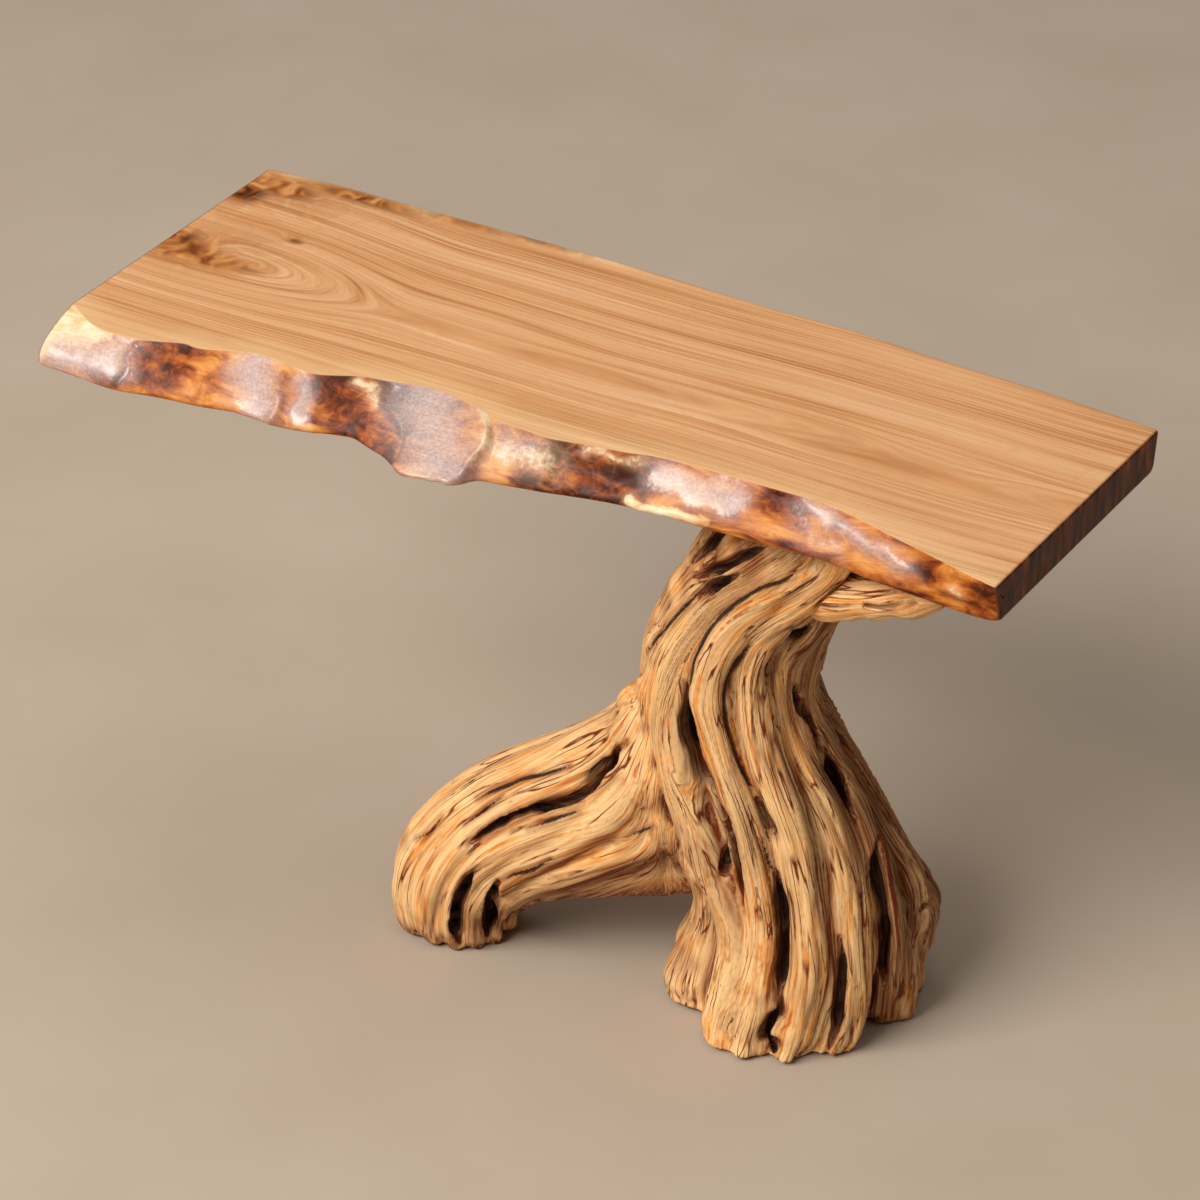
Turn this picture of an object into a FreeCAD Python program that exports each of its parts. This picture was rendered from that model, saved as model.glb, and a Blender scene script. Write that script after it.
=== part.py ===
"""Live edge console table: one natural-edged slab carried on a root pedestal.

Millimetres, +Z up.  The origin is on the floor, under the middle of the table's outline.
+X runs along the slab to the end that the pedestal stands under, and -Y is the front, where
the wavy live edge is.
"""

import FreeCAD
import Part
import math
import os

Vector = FreeCAD.Vector

# Overall sizes
table_height = 770.0
slab_length = 1220.0
slab_depth = 496.0
slab_thickness = 50.0
underside = table_height - slab_thickness

# Live edges of the slab.  Each row is a place along the slab, as a share of its half length,
# then how far the edge lies inside the slab's full depth there, at the top face and at the
# underside, and how full the face between them is: 1 is a flat slope and 2 a swelling one.
front_edge = [
    (-1.00, 76.0, 5.0, 2.4),
    (-0.87, 42.0, 0.0, 1.7),
    (-0.72, 62.0, 11.0, 1.3),
    (-0.55, 85.0, 28.0, 1.3),
    (-0.43, 83.0, 34.0, 1.3),
    (-0.33, 108.0, 49.0, 1.3),
    (-0.25, 120.0, 34.0, 1.3),
    (-0.15, 121.0, 13.0, 1.3),
    (-0.06, 99.0, 24.0, 1.3),
    (0.05, 96.0, 54.0, 1.3),
    (0.22, 114.0, 79.0, 1.3),
    (0.42, 127.0, 86.0, 1.3),
    (0.62, 128.0, 90.0, 1.3),
    (0.80, 101.0, 81.0, 1.3),
    (1.00, 70.0, 83.0, 1.6),
]
back_edge = [
    (1.00, 31.0, 39.0, 1.0),
    (0.74, 18.0, 25.0, 1.0),
    (0.40, 8.0, 14.0, 1.0),
    (0.00, 3.0, 8.0, 1.0),
    (-0.42, 0.0, 5.0, 1.0),
    (-0.76, 5.0, 10.0, 1.0),
    (-1.00, 12.0, 18.0, 1.0),
]
edge_round = 4.0          # softened top arris of the slab
edge_nose = 6.0           # height of the blunt nose at the foot of a live edge
live_edge_levels = 6      # outlines that shape the slope of the live edges

# Root pedestal.  The trunk's rows give a level, as a share of its height, and there the middle
# of the trunk and its half width along X and along Y.
pad_proud = 1.5           # how far the floor glides stand out of the root
trunk_rows = [
    (0.00, 271.0, 20.0, 140.0, 162.0),
    (0.08, 279.0, 28.0, 141.0, 152.0),
    (0.19, 306.0, 34.0, 119.0, 140.0),
    (0.32, 251.0, 9.0, 129.0, 126.0),
    (0.47, 211.0, -9.0, 113.0, 104.0),
    (0.63, 184.0, -18.0, 89.0, 86.0),
    (0.77, 232.0, -17.0, 99.0, 93.0),
    (0.88, 285.0, -18.0, 107.0, 99.0),
    (1.00, 330.0, -18.0, 114.0, 106.0),
]
# The trunk is a bundle of strands.  At each of the trunk's rows a strand has the depth of the
# furrow that follows it, in rises of its crest, and the way that its crest faces, in degrees
# around the trunk.  The strands of the back and of the far side are alike all the way up.
even_furrow = [1.4] * len(trunk_rows)
trunk_strands = {
    "left_broad": (
        (0.5, 0.6, 1.3, 2.7, 2.9, 1.9, 1.5, 1.4, 1.2),
        (-96, -98, -113, -106, -116, -115, -116, -109, -101),
    ),
    "middle": (
        (1.5, 1.7, 1.8, 1.3, 1.2, 1.6, 1.4, 1.2, 1.0),
        (-82, -83, -91, -74, -68, -74, -87, -79, -70),
    ),
    "front_toe": (
        (1.5, 1.6, 1.5, 0.9, 1.1, 1.6, 1.6, 1.4, 1.2),
        (-62, -61, -64, -46, -38, -40, -60, -57, -46),
    ),
    "right_front": (
        (3.2, 2.4, 1.5, 1.7, 1.8, 1.5, 1.2, 1.2, 1.2),
        (-39, -38, -39, -19, -12, -14, -28, -28, -20),
    ),
    "right_side": (
        (1.0, 1.0, 1.3, 1.3, 1.4, 1.4, 1.4, 1.3, 1.2),
        (6, -1, -15, 1, 11, 10, 2, 0, 7),
    ),
    "right_edge": (even_furrow, (20, 16, 9, 29, 36, 34, 29, 27, 33)),
    "back_right": (even_furrow, (36, 35, 37, 54, 61, 60, 55, 53, 59)),
    "back_first": (even_furrow, (60, 61, 64, 79, 87, 86, 82, 80, 86)),
    "back_second": (even_furrow, (90, 91, 93, 105, 113, 112, 109, 107, 113)),
    "back_third": (even_furrow, (120, 121, 123, 132, 140, 139, 137, 135, 140)),
    "back_left": (even_furrow, (151, 152, 153, 160, 167, 168, 168, 168, 170)),
    "far_left": (even_furrow, (188, 188, 188, 189, 190, 196, 203, 209, 208)),
    "arm_crest": (
        (2.6, 2.2, 1.3, 1.0, 1.0, 1.0, 1.1, 1.1, 1.1),
        (216, 217, 220, 222, 214, 219, 226, 233, 236),
    ),
}
strand_rise_top = 8.0
strand_rise_foot = 16.0
poles_per_strand = 6

# The side root leaves the trunk and bends down to its own foot.  Its rows give the middle of a
# section, the half width across the root, the half height, and the lean of that height from the
# outward direction, in degrees: 90 is a section that stands upright and 0 one that lies flat.
side_root_rows = [
    (175.0, -10.0, 298.0, 74.0, 180.0, 90.0),
    (112.0, -24.0, 268.0, 82.0, 168.0, 92.0),
    (45.0, -37.0, 211.0, 82.0, 124.0, 92.0),
    (-25.0, -52.0, 178.0, 80.0, 107.0, 86.0),
    (-84.0, -65.0, 138.0, 78.0, 95.0, 70.0),
    (-127.0, -74.0, 99.0, 76.0, 88.0, 47.0),
    (-151.0, -79.0, 57.0, 74.0, 84.0, 22.0),
    (-149.0, -79.0, 26.0, 70.0, 78.0, 8.0),
    (-145.0, -78.0, 0.0, 66.0, 72.0, 0.0),
]
# Its strands are given as the trunk's are, in degrees from the section's height to the front.
side_furrow = [1.8] * len(side_root_rows)
side_root_strands = {
    "crest": (side_furrow, (2, 4, 8, 15, 23, 33, 44, 47, 48)),
    "upper_front": ([2.6] * len(side_root_rows), (24, 28, 36, 47, 56, 70, 81, 83, 84)),
    "middle_front": (side_furrow, (46, 51, 66, 77, 85, 97, 106, 106, 106)),
    "lower_front": (side_furrow, (72, 77, 90, 98, 106, 118, 127, 127, 127)),
    "arch_front": (side_furrow, (98, 103, 114, 122, 132, 144, 150, 150, 150)),
    "arch": (side_furrow, (146, 149, 153, 158, 166, 176, 181, 181, 181)),
    "arch_back": (side_furrow, (194, 196, 198, 202, 208, 215, 219, 219, 219)),
    "lower_back": (side_furrow, (236, 237, 238, 241, 246, 253, 257, 257, 257)),
    "middle_back": (side_furrow, (278, 279, 280, 283, 289, 297, 302, 303, 303)),
    "upper_back": (side_furrow, (320, 321, 324, 329, 336, 345, 354, 356, 357)),
}
side_strand_rise = 5.0

# The brace limb rises from the trunk to the slab.  Its rows give the middle of a section, as X,
# Y and the distance below the slab, and its radius.
limb_rows = [
    (282.0, -42.0, 138.0, 22.0),
    (330.0, -60.0, 112.0, 26.0),
    (371.0, -75.0, 93.0, 27.0),
    (410.0, -89.0, 75.0, 24.0),
    (446.0, -101.0, 57.0, 23.0),
    (482.0, -112.0, 36.0, 25.0),
    (508.0, -119.0, 20.0, 25.0),
    (521.0, -123.0, 14.0, 18.0),
    (526.0, -125.0, 12.0, 7.0),
]
limb_poles = 12

# Steel plate, let in flush under the slab, and its screws and bolts
plate_length = 380.0
plate_width = 120.0
plate_thickness = 6.0
plate_corner = 12.0
plate_fit = 0.3           # gap around the plate in its recess
lag_spacing_x = 55.0
lag_spacing_y = 70.0
lag_offset_x = -10.0      # screws stand over the heart of the leaning trunk
lag_length = 55.0
lag_shank = 6.0
lag_head = 12.0
lag_head_height = 3.2
bolt_inset = 26.0         # from the end of the plate to the bolts
bolt_spacing = 80.0
bolt_size = 8.0
bolt_reach = 16.0         # into the insert
bolt_head = 14.0
bolt_head_height = 4.4
bolt_key = 5.0            # across the flats of the hexagon socket
bolt_key_depth = 2.6
washer_size = 17.0
washer_thickness = 1.6
slot_travel = 6.0         # lets the slab swell and shrink across its grain
insert_size = 13.0
insert_flange = 17.0
insert_flange_height = 1.5
insert_length = 22.0
screw_fit = 0.1           # gap around a screw, a dowel or an insert
bolt_fit = 0.5            # gap around a bolt in its washer and in the plate

# Dowels between the brace limb and the trunk
dowel_size = 8.0
dowel_length = 46.0
dowel_spacing = 18.0
dowel_row = 2             # the limb's row that the dowels are set out from

# Floor glides: a plastic cup with a felt face, held by one screw
glide_size = 36.0
glide_cup_height = 4.0
felt_size = 33.0
felt_height = 2.5
felt_seat = 1.0           # how deep the felt lies in the cup
glide_screw_shank = 3.5
glide_screw_head = 7.0
glide_screw_head_height = 2.0
glide_screw_length = 22.0
foot_glide_radius = 100.0
foot_glide_angles = (-95.0, 35.0, 150.0)
side_glide_spacing = 70.0


def cylinder(size, height, base):
    """A standing cylinder of that diameter."""
    return Part.makeCylinder(size / 2, height, base)


def compound(solids):
    """Several separate solids as one shape."""
    return Part.makeCompound(solids)


def curve_through(points):
    """A smooth open edge through the points."""
    curve = Part.BSplineCurve()
    curve.interpolate(points)
    return curve.toShape()


# The slab


def slope(share, fullness):
    """How far a live edge has come out at a share of the way down; its nose stands upright."""
    above_nose = 1.0 - edge_nose / slab_thickness
    return 1.0 - (1.0 - min(share / above_nose, 1.0)) ** fullness


def slab_outline(share, inset=0.0):
    """The slab's outline at a share of the way down from its top face."""
    height = table_height - share * slab_thickness
    half = slab_length / 2 - inset

    def edge(rows, side):
        points = []
        for place, top, bottom, fullness in rows:
            reach = slab_depth / 2 - top - (bottom - top) * slope(share, fullness) - inset
            points.append(Vector(place * half, side * reach, height))
        return points

    front = edge(front_edge, -1)
    back = edge(back_edge, 1)
    return Part.Wire([
        curve_through(front),
        Part.makeLine(front[-1], back[0]),
        curve_through(back),
        Part.makeLine(back[-1], front[0]),
    ])


def make_slab_blank():
    """The slab before anything is cut into its underside."""
    arris = edge_round / slab_thickness
    above_nose = 1.0 - edge_nose / slab_thickness
    outlines = [slab_outline(0.0, edge_round), slab_outline(arris / 4, edge_round / 4)]
    for step in range(1, live_edge_levels):
        share = arris + (above_nose - arris) * step / (live_edge_levels - 1)
        outlines.append(slab_outline(share))
    outlines.append(slab_outline(1.0))
    return Part.makeLoft(outlines[::-1], True, False, False, 3)


# The root pedestal


def skin(rings):
    """A solid with a smooth skin over rings of poles; the first and last rings lie flat."""
    count = len(rings[0])
    poles = [[ring[i] for ring in rings] for i in range(count)]
    spans = len(rings) - 3
    surface = Part.BSplineSurface()
    surface.buildFromPolesMultsKnots(
        poles,
        [1] * (count + 1),
        [4] + [1] * (spans - 1) + [4],
        list(range(count + 1)),
        list(range(spans + 1)),
        True,
        False,
        3,
        3,
    )
    caps = [Part.Face(Part.Wire(surface.vIso(v).toShape())) for v in (0, spans)]
    sewn = Part.makeShell([surface.toShape()] + caps)
    sewn.sewShape()
    solid = Part.Solid(Part.Shell(sewn.Faces))
    if solid.Volume < 0:
        solid.reverse()
    return solid


def bundle(strands, row, rise):
    """The angle and the reach of every pole around a bundle of strands, at one of its rows."""
    crests = [math.radians(angles[row]) for furrows, angles in strands.values()]
    following = crests[1:] + [crests[0] + 2 * math.pi]
    spots = []
    for crest, after, (furrows, angles) in zip(crests, following, strands.values()):
        for k in range(poles_per_strand):
            way = k / poles_per_strand
            fall = 1 - abs(math.cos(math.pi * way))
            spots.append((crest + (after - crest) * way, rise * (1 - furrows[row] * fall)))
    return spots


def make_trunk():
    """The bundled trunk, from its foot to the flat that carries the slab."""
    height = underside - pad_proud
    rings = []
    for row, (level, x, y, half_x, half_y) in enumerate(trunk_rows):
        rise = strand_rise_top + (strand_rise_foot - strand_rise_top) * (1 - level) ** 3
        rings.append([
            Vector(
                x + (half_x + reach) * math.cos(angle),
                y + (half_y + reach) * math.sin(angle),
                pad_proud + level * height,
            )
            for angle, reach in bundle(trunk_strands, row, rise)
        ])
    return skin(rings)


def make_side_root():
    """The root that arches away from the trunk to a foot of its own."""
    start, end = side_root_rows[0], side_root_rows[-1]
    outward = Vector(end[0] - start[0], end[1] - start[1], 0).normalize()
    across = Vector(0, 0, 1).cross(outward)
    rings = []
    for row, (x, y, z, half_across, half_high, lean) in enumerate(side_root_rows):
        tilt = math.radians(lean)
        high = outward * math.cos(tilt) + Vector(0, 0, math.sin(tilt))
        middle = Vector(x, y, max(z, pad_proud))
        rings.append([
            middle
            + across * ((half_across + reach) * math.sin(angle))
            + high * ((half_high + reach) * math.cos(angle))
            for angle, reach in bundle(side_root_strands, row, side_strand_rise)
        ])
    return skin(rings)


def limb_middle(row):
    """The middle of one of the brace limb's sections."""
    x, y, below, radius = row
    return Vector(x, y, underside - below)


def limb_direction():
    """The way that the brace limb leaves the trunk."""
    return (limb_middle(limb_rows[dowel_row + 1]) - limb_middle(limb_rows[dowel_row])).normalize()


def make_limb_blank():
    """The brace limb before it is scribed to the trunk and the slab."""
    middles = [limb_middle(row) for row in limb_rows]
    rings = []
    for i, row in enumerate(limb_rows):
        along = (middles[min(i + 1, len(middles) - 1)] - middles[max(i - 1, 0)]).normalize()
        side = Vector(0, 0, 1).cross(along).normalize()
        up = along.cross(side)
        ring = []
        for k in range(limb_poles):
            angle = 2 * math.pi * k / limb_poles
            ring.append(middles[i] + (side * math.sin(angle) + up * math.cos(angle)) * row[3])
        rings.append(ring)
    return skin(rings)


# Where the fasteners stand


def plate_middle():
    """The middle of the plate, over the middle of the trunk's top."""
    level, x, y, half_x, half_y = trunk_rows[-1]
    return Vector(x, y, underside)


def lag_places():
    """The points under the slab where screws go down into the trunk."""
    middle = plate_middle() + Vector(lag_offset_x, 0, 0)
    return [
        middle + Vector(column * lag_spacing_x, row * lag_spacing_y / 2, 0)
        for column in (-1, 0, 1)
        for row in (-1, 1)
    ]


def bolt_places():
    """The points under the slab where bolts go up into the inserts."""
    reach = plate_length / 2 - bolt_inset
    return [
        plate_middle() + Vector(end * reach, row * bolt_spacing / 2, 0)
        for end in (-1, 1)
        for row in (-1, 1)
    ]


def glide_places():
    """The points on the floor under the floor glides."""
    level, x, y, half_x, half_y = trunk_rows[0]
    places = []
    for degrees in foot_glide_angles:
        angle = math.radians(degrees)
        way = Vector(math.cos(angle), math.sin(angle), 0)
        places.append(Vector(x, y, 0) + way * foot_glide_radius)
    x, y = side_root_rows[-1][:2]
    for side in (-1, 1):
        places.append(Vector(x, y + side * side_glide_spacing / 2, 0))
    return places


def dowel_frames():
    """The start of each dowel, inside the trunk, and the way that the dowels run."""
    along = limb_direction()
    across = Vector(0, 0, 1).cross(along).normalize()
    middle = limb_middle(limb_rows[dowel_row]) - along * dowel_length / 2
    return [(middle + across * (side * dowel_spacing / 2), along) for side in (-1, 1)]


# The fasteners themselves


def lag_solid(place, fit=0.0):
    """A countersunk wood screw that points down; fit widens it into the hole that it needs."""
    top = place.z + plate_thickness
    taper_end = lag_length * 0.85
    outline = [
        Vector(0, 0, top),
        Vector(lag_head / 2 + fit, 0, top),
        Vector(lag_shank / 2 + fit, 0, top - lag_head_height),
        Vector(lag_shank / 2 + fit, 0, top - taper_end),
        Vector(0, 0, top - lag_length - fit),
        Vector(0, 0, top),
    ]
    profile = Part.Face(Part.makePolygon(outline))
    screw = profile.revolve(Vector(0, 0, 0), Vector(0, 0, 1), 360)
    screw.translate(Vector(place.x, place.y, 0))
    return screw


def hexagon(across_flats, height, base):
    """A standing hexagonal prism."""
    radius = across_flats / math.sqrt(3)
    corners = [
        base + Vector(radius * math.cos(k * math.pi / 3), radius * math.sin(k * math.pi / 3), 0)
        for k in range(7)
    ]
    return Part.Face(Part.makePolygon(corners)).extrude(Vector(0, 0, height))


def bolt_solid(place):
    """A button-head bolt that points up, with its head under the washer."""
    seat = place - Vector(0, 0, washer_thickness)
    head = cylinder(bolt_head, bolt_head_height, seat - Vector(0, 0, bolt_head_height))
    half_way = seat.z - bolt_head_height / 2
    lower_rim = [e for e in head.Edges if e.BoundBox.ZMax < half_way and e.Closed]
    head = head.makeFillet(bolt_head_height * 0.6, lower_rim)
    shank = cylinder(bolt_size, washer_thickness + plate_thickness + bolt_reach, seat)
    socket = hexagon(bolt_key, bolt_key_depth, seat - Vector(0, 0, bolt_head_height))
    return head.fuse(shank).cut(socket).removeSplitter()


def washer_solid(place):
    """The washer between a bolt's head and the plate."""
    base = place - Vector(0, 0, washer_thickness)
    hole = cylinder(bolt_size + 2 * bolt_fit, washer_thickness, base)
    return cylinder(washer_size, washer_thickness, base).cut(hole)


def insert_solid(place, fit=0.0):
    """A flanged insert, driven into the slab above the plate; fit makes it the hole for one."""
    base = place + Vector(0, 0, plate_thickness)
    body = cylinder(insert_size + 2 * fit, insert_length + fit, base)
    flange = cylinder(insert_flange + 2 * fit, insert_flange_height + fit, base)
    return body.fuse(flange).removeSplitter()


def make_insert(place):
    """An insert with the bore that takes the bolt."""
    base = place + Vector(0, 0, plate_thickness)
    bore = cylinder(bolt_size + 2 * screw_fit, bolt_reach + bolt_size / 2, base)
    return insert_solid(place).cut(bore)


def plate_blank(fit=0.0):
    """The plate's rounded block; fit makes it the recess in the slab."""
    length, width = plate_length + 2 * fit, plate_width + 2 * fit
    corner = plate_middle() - Vector(length / 2, width / 2, 0)
    block = Part.makeBox(length, width, plate_thickness, corner)
    upright = [e for e in block.Edges if e.BoundBox.ZLength > plate_thickness / 2]
    return block.makeFillet(plate_corner + fit, upright)


def slot(place):
    """A slot across the grain for one bolt."""
    size = bolt_size + 2 * bolt_fit
    half = slot_travel / 2
    ends = [cylinder(size, plate_thickness, place + Vector(0, side * half, 0)) for side in (-1, 1)]
    middle = Part.makeBox(size, slot_travel, plate_thickness, place - Vector(size / 2, half, 0))
    return middle.multiFuse(ends).removeSplitter()


def make_plate():
    """The steel plate with its countersunk holes and its slots."""
    holes = [lag_solid(place, screw_fit) for place in lag_places()]
    slots = [slot(place) for place in bolt_places()]
    return plate_blank().cut(compound(holes + slots))


def dowel_solid(start, along, fit=0.0):
    """A dowel; fit makes it the hole for one."""
    return Part.makeCylinder(dowel_size / 2 + fit, dowel_length + 2 * fit, start - along * fit, along)


def felt_solid(place):
    """The felt face of a glide, which stands on the floor."""
    return cylinder(felt_size, felt_height, place)


def cup_block(place, fit=0.0):
    """A glide's cup as a plain disc; fit makes it the recess in the root."""
    base = place + Vector(0, 0, felt_height - felt_seat)
    return cylinder(glide_size + 2 * fit, glide_cup_height + fit, base)


def glide_screw(place, fit=0.0):
    """The screw that holds a glide, pointing up, with its head flush in the cup."""
    base = place.z + felt_height
    taper = glide_screw_length * 0.8
    outline = [
        Vector(0, 0, base),
        Vector(glide_screw_head / 2 + fit, 0, base),
        Vector(glide_screw_shank / 2 + fit, 0, base + glide_screw_head_height),
        Vector(glide_screw_shank / 2 + fit, 0, base + taper),
        Vector(0, 0, base + glide_screw_length + fit),
        Vector(0, 0, base),
    ]
    profile = Part.Face(Part.makePolygon(outline))
    screw = profile.revolve(Vector(0, 0, 0), Vector(0, 0, 1), 360)
    screw.translate(Vector(place.x, place.y, 0))
    return screw


def make_cup(place):
    """A glide's cup, with the seat for its felt and the hole for its screw."""
    seat = cylinder(felt_size, felt_seat, place + Vector(0, 0, felt_height - felt_seat))
    return cup_block(place).cut(compound([seat])).cut(glide_screw(place, screw_fit))


def make_slab():
    """The slab with the plate's recess and the holes for the inserts."""
    holes = [insert_solid(place, screw_fit) for place in bolt_places()]
    return make_slab_blank().cut(compound([plate_blank(plate_fit)])).cut(compound(holes))


def make_root_blank():
    """Trunk and side root, grown together into one piece."""
    return make_trunk().fuse(make_side_root()).removeSplitter()


def make_root(blank):
    """The pedestal with every hole that its fasteners need."""
    holes = [lag_solid(place, screw_fit) for place in lag_places()]
    holes += [dowel_solid(start, along, screw_fit) for start, along in dowel_frames()]
    for place in glide_places():
        holes.append(cup_block(place, screw_fit))
        holes.append(glide_screw(place, screw_fit))
    return blank.cut(compound(holes))


def make_limb(root_blank):
    """The brace limb, scribed to the trunk, cut level under the slab and bored for its dowels."""
    corner = Vector(-slab_length / 2, -slab_length / 2, underside)
    above = Part.makeBox(slab_length, slab_length, slab_thickness, corner)
    limb = make_limb_blank().cut(root_blank).cut(above)
    limb = max(limb.Solids, key=lambda solid: solid.Volume)
    holes = [dowel_solid(start, along, screw_fit) for start, along in dowel_frames()]
    return limb.cut(compound(holes))


def main():
    """Builds every piece and writes it to its own file."""
    root_blank = make_root_blank()
    pieces = {
        "slab_top": make_slab(),
        "root_pedestal": make_root(root_blank),
        "brace_limb": make_limb(root_blank),
        "limb_dowels": compound([dowel_solid(start, along) for start, along in dowel_frames()]),
        "mounting_plate": make_plate(),
        "plate_screws": compound([lag_solid(place) for place in lag_places()]),
        "slab_bolts": compound([bolt_solid(place) for place in bolt_places()]),
        "bolt_washers": compound([washer_solid(place) for place in bolt_places()]),
        "threaded_inserts": compound([make_insert(place) for place in bolt_places()]),
        "glide_cups": compound([make_cup(place) for place in glide_places()]),
        "glide_felts": compound([felt_solid(place) for place in glide_places()]),
        "glide_screws": compound([glide_screw(place) for place in glide_places()]),
    }
    os.makedirs("parts", exist_ok=True)
    for name, shape in pieces.items():
        box = shape.BoundBox
        print(
            f"{name}: {len(shape.Solids)} solids, valid {shape.isValid()},"
            f" {shape.Volume / 1000:.1f} cm3,"
            f" X {box.XMin:.1f}..{box.XMax:.1f}"
            f" Y {box.YMin:.1f}..{box.YMax:.1f}"
            f" Z {box.ZMin:.1f}..{box.ZMax:.1f}"
        )
        shape.exportStep(f"parts/{name}.step")


main()
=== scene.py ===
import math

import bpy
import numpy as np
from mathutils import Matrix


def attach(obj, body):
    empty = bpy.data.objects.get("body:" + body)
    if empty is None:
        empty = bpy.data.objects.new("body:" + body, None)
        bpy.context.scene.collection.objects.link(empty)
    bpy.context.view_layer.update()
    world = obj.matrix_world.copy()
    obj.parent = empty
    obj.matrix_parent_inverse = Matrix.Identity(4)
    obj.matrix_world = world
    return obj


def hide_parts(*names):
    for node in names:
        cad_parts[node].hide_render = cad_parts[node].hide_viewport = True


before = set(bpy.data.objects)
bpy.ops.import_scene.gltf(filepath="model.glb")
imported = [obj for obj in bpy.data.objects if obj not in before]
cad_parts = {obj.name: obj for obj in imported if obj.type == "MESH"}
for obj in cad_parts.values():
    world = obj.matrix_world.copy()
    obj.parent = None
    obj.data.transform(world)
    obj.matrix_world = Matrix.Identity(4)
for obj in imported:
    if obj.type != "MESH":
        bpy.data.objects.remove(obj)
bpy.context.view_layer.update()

# %% [markdown]
# # A live edge console table
# The table is a thick slab with a natural front edge, standing off-centre on one big root.
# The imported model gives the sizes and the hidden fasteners.  This script dresses it: it carves
# the root and the slab as fine meshes in the same place, and gives every piece its finish.

import openvdb
from mathutils import Vector

MM = 0.001

# %% [markdown]
# ## Small helpers
# Colours are written as sRGB hex, as a paint chart gives them, and turned to linear light.
# Pattern sizes are written in millimetres.  One function adds a shader node, sets it and links
# it.  The short ones after it each add one kind of node and hand on its output, so that every
# material below reads as a list.

# %% Helpers for colours, nodes and meshes


def srgb(code):
    """A hex colour as linear red, green, blue and alpha."""
    values = [int(code[i:i + 2], 16) / 255 for i in (1, 3, 5)]
    return [v / 12.92 if v <= 0.04045 else ((v + 0.055) / 1.055) ** 2.4 for v in values] + [1.0]


def fill(tree, made, inputs):
    """Gives each input of a node its value, or a link from another node's output."""
    for socket, value in inputs.items():
        if isinstance(value, bpy.types.NodeSocket):
            tree.links.new(value, made.inputs[socket])
        else:
            made.inputs[socket].default_value = value


def node(tree, kind, inputs=None, ramp=None, **settings):
    """Adds a shader node with its settings, its inputs and the stops of its colour ramp."""
    made = tree.nodes.new(kind)
    for name, value in settings.items():
        setattr(made, name, value)
    fill(tree, made, inputs or {})
    if ramp:
        stops = made.color_ramp.elements
        while len(stops) < len(ramp):
            stops.new(0.5)
        for stop, (place, code) in zip(stops, ramp):
            stop.position = place
            stop.color = srgb(code)
    return made


def maths(tree, work, *values, clamp=False):
    """One step of arithmetic."""
    return node(tree, "ShaderNodeMath", dict(enumerate(values)), operation=work, use_clamp=clamp).outputs[0]


def added(tree, total, *terms):
    """A value plus others, each times its weight."""
    for value, weight in terms:
        total = maths(tree, "MULTIPLY_ADD", value, weight, total)
    return total


def largest(tree, best, *others):
    """The largest of several values."""
    for value in others:
        best = maths(tree, "MAXIMUM", best, value)
    return best


def ranged(tree, value, low, high, at_low, at_high):
    """A value moved from one range to another, and held inside that."""
    return node(tree, "ShaderNodeMapRange", {
        "Value": value, "From Min": low, "From Max": high, "To Min": at_low, "To Max": at_high}).outputs[0]


def ramped(tree, value, *stops):
    """A colour for a value, from stops of place and hex colour."""
    return node(tree, "ShaderNodeValToRGB", {"Fac": value}, ramp=stops).outputs["Color"]


def blended(tree, share, first, second):
    """A blend of two colours."""
    return node(tree, "ShaderNodeMix", {0: share, 6: first, 7: second}, data_type="RGBA").outputs[2]


def dimmed(tree, colour, factor):
    """A colour times a value."""
    return node(tree, "ShaderNodeVectorMath", {0: colour, 3: factor}, operation="SCALE").outputs[0]


def noise(tree, place, scale, detail, roughness=0.5, distortion=0.0):
    """Noise from 0 to 1; scale is one number, or one for each direction."""
    if not np.isscalar(scale):
        place = node(tree, "ShaderNodeMapping", {"Vector": place, "Scale": scale}).outputs[0]
        scale = 1.0
    return node(tree, "ShaderNodeTexNoise", {
        "Vector": place, "Scale": scale, "Detail": detail, "Roughness": roughness,
        "Distortion": distortion}).outputs["Fac"]


def bumped(tree, height, strength, distance):
    """A normal that follows a height; distance is in metres."""
    return node(tree, "ShaderNodeBump", {
        "Height": height, "Strength": strength, "Distance": distance}).outputs[0]


def attribute(tree, name, output="Fac"):
    """What store() kept per point under a name."""
    return node(tree, "ShaderNodeAttribute", attribute_name=name).outputs[output]


def new_material(name):
    """A material, its node tree, the shader it ends in and the object's coordinates in metres."""
    material = bpy.data.materials.new(name)
    material.use_nodes = True
    tree = material.node_tree
    spot = node(tree, "ShaderNodeTexCoord").outputs["Object"]
    return material, tree, tree.nodes["Principled BSDF"], spot


def unit(vectors, least=1e-6):
    """Vectors of length one."""
    return vectors / np.maximum(np.linalg.norm(vectors, axis=1), least)[:, None]


def mesh_object(name, points_mm, faces, material):
    """A smooth-shaded mesh object from points in millimetres."""
    mesh = bpy.data.meshes.new(name)
    mesh.from_pydata((np.asarray(points_mm) * MM).tolist(), [], [list(face) for face in faces])
    mesh.shade_smooth()
    mesh.materials.append(material)
    made = bpy.data.objects.new(name, mesh)
    bpy.context.collection.objects.link(made)
    print(name, "has", len(mesh.vertices), "points and", len(mesh.polygons), "faces")
    return made


def store(piece, name, values, kind="FLOAT"):
    """Keeps a value or a vector per point, which the shader reads by name."""
    layer = piece.data.attributes.new(name, kind, "POINT")
    field = "value" if kind == "FLOAT" else "vector"
    layer.data.foreach_set(field, np.asarray(values, np.float32).ravel())


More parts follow.
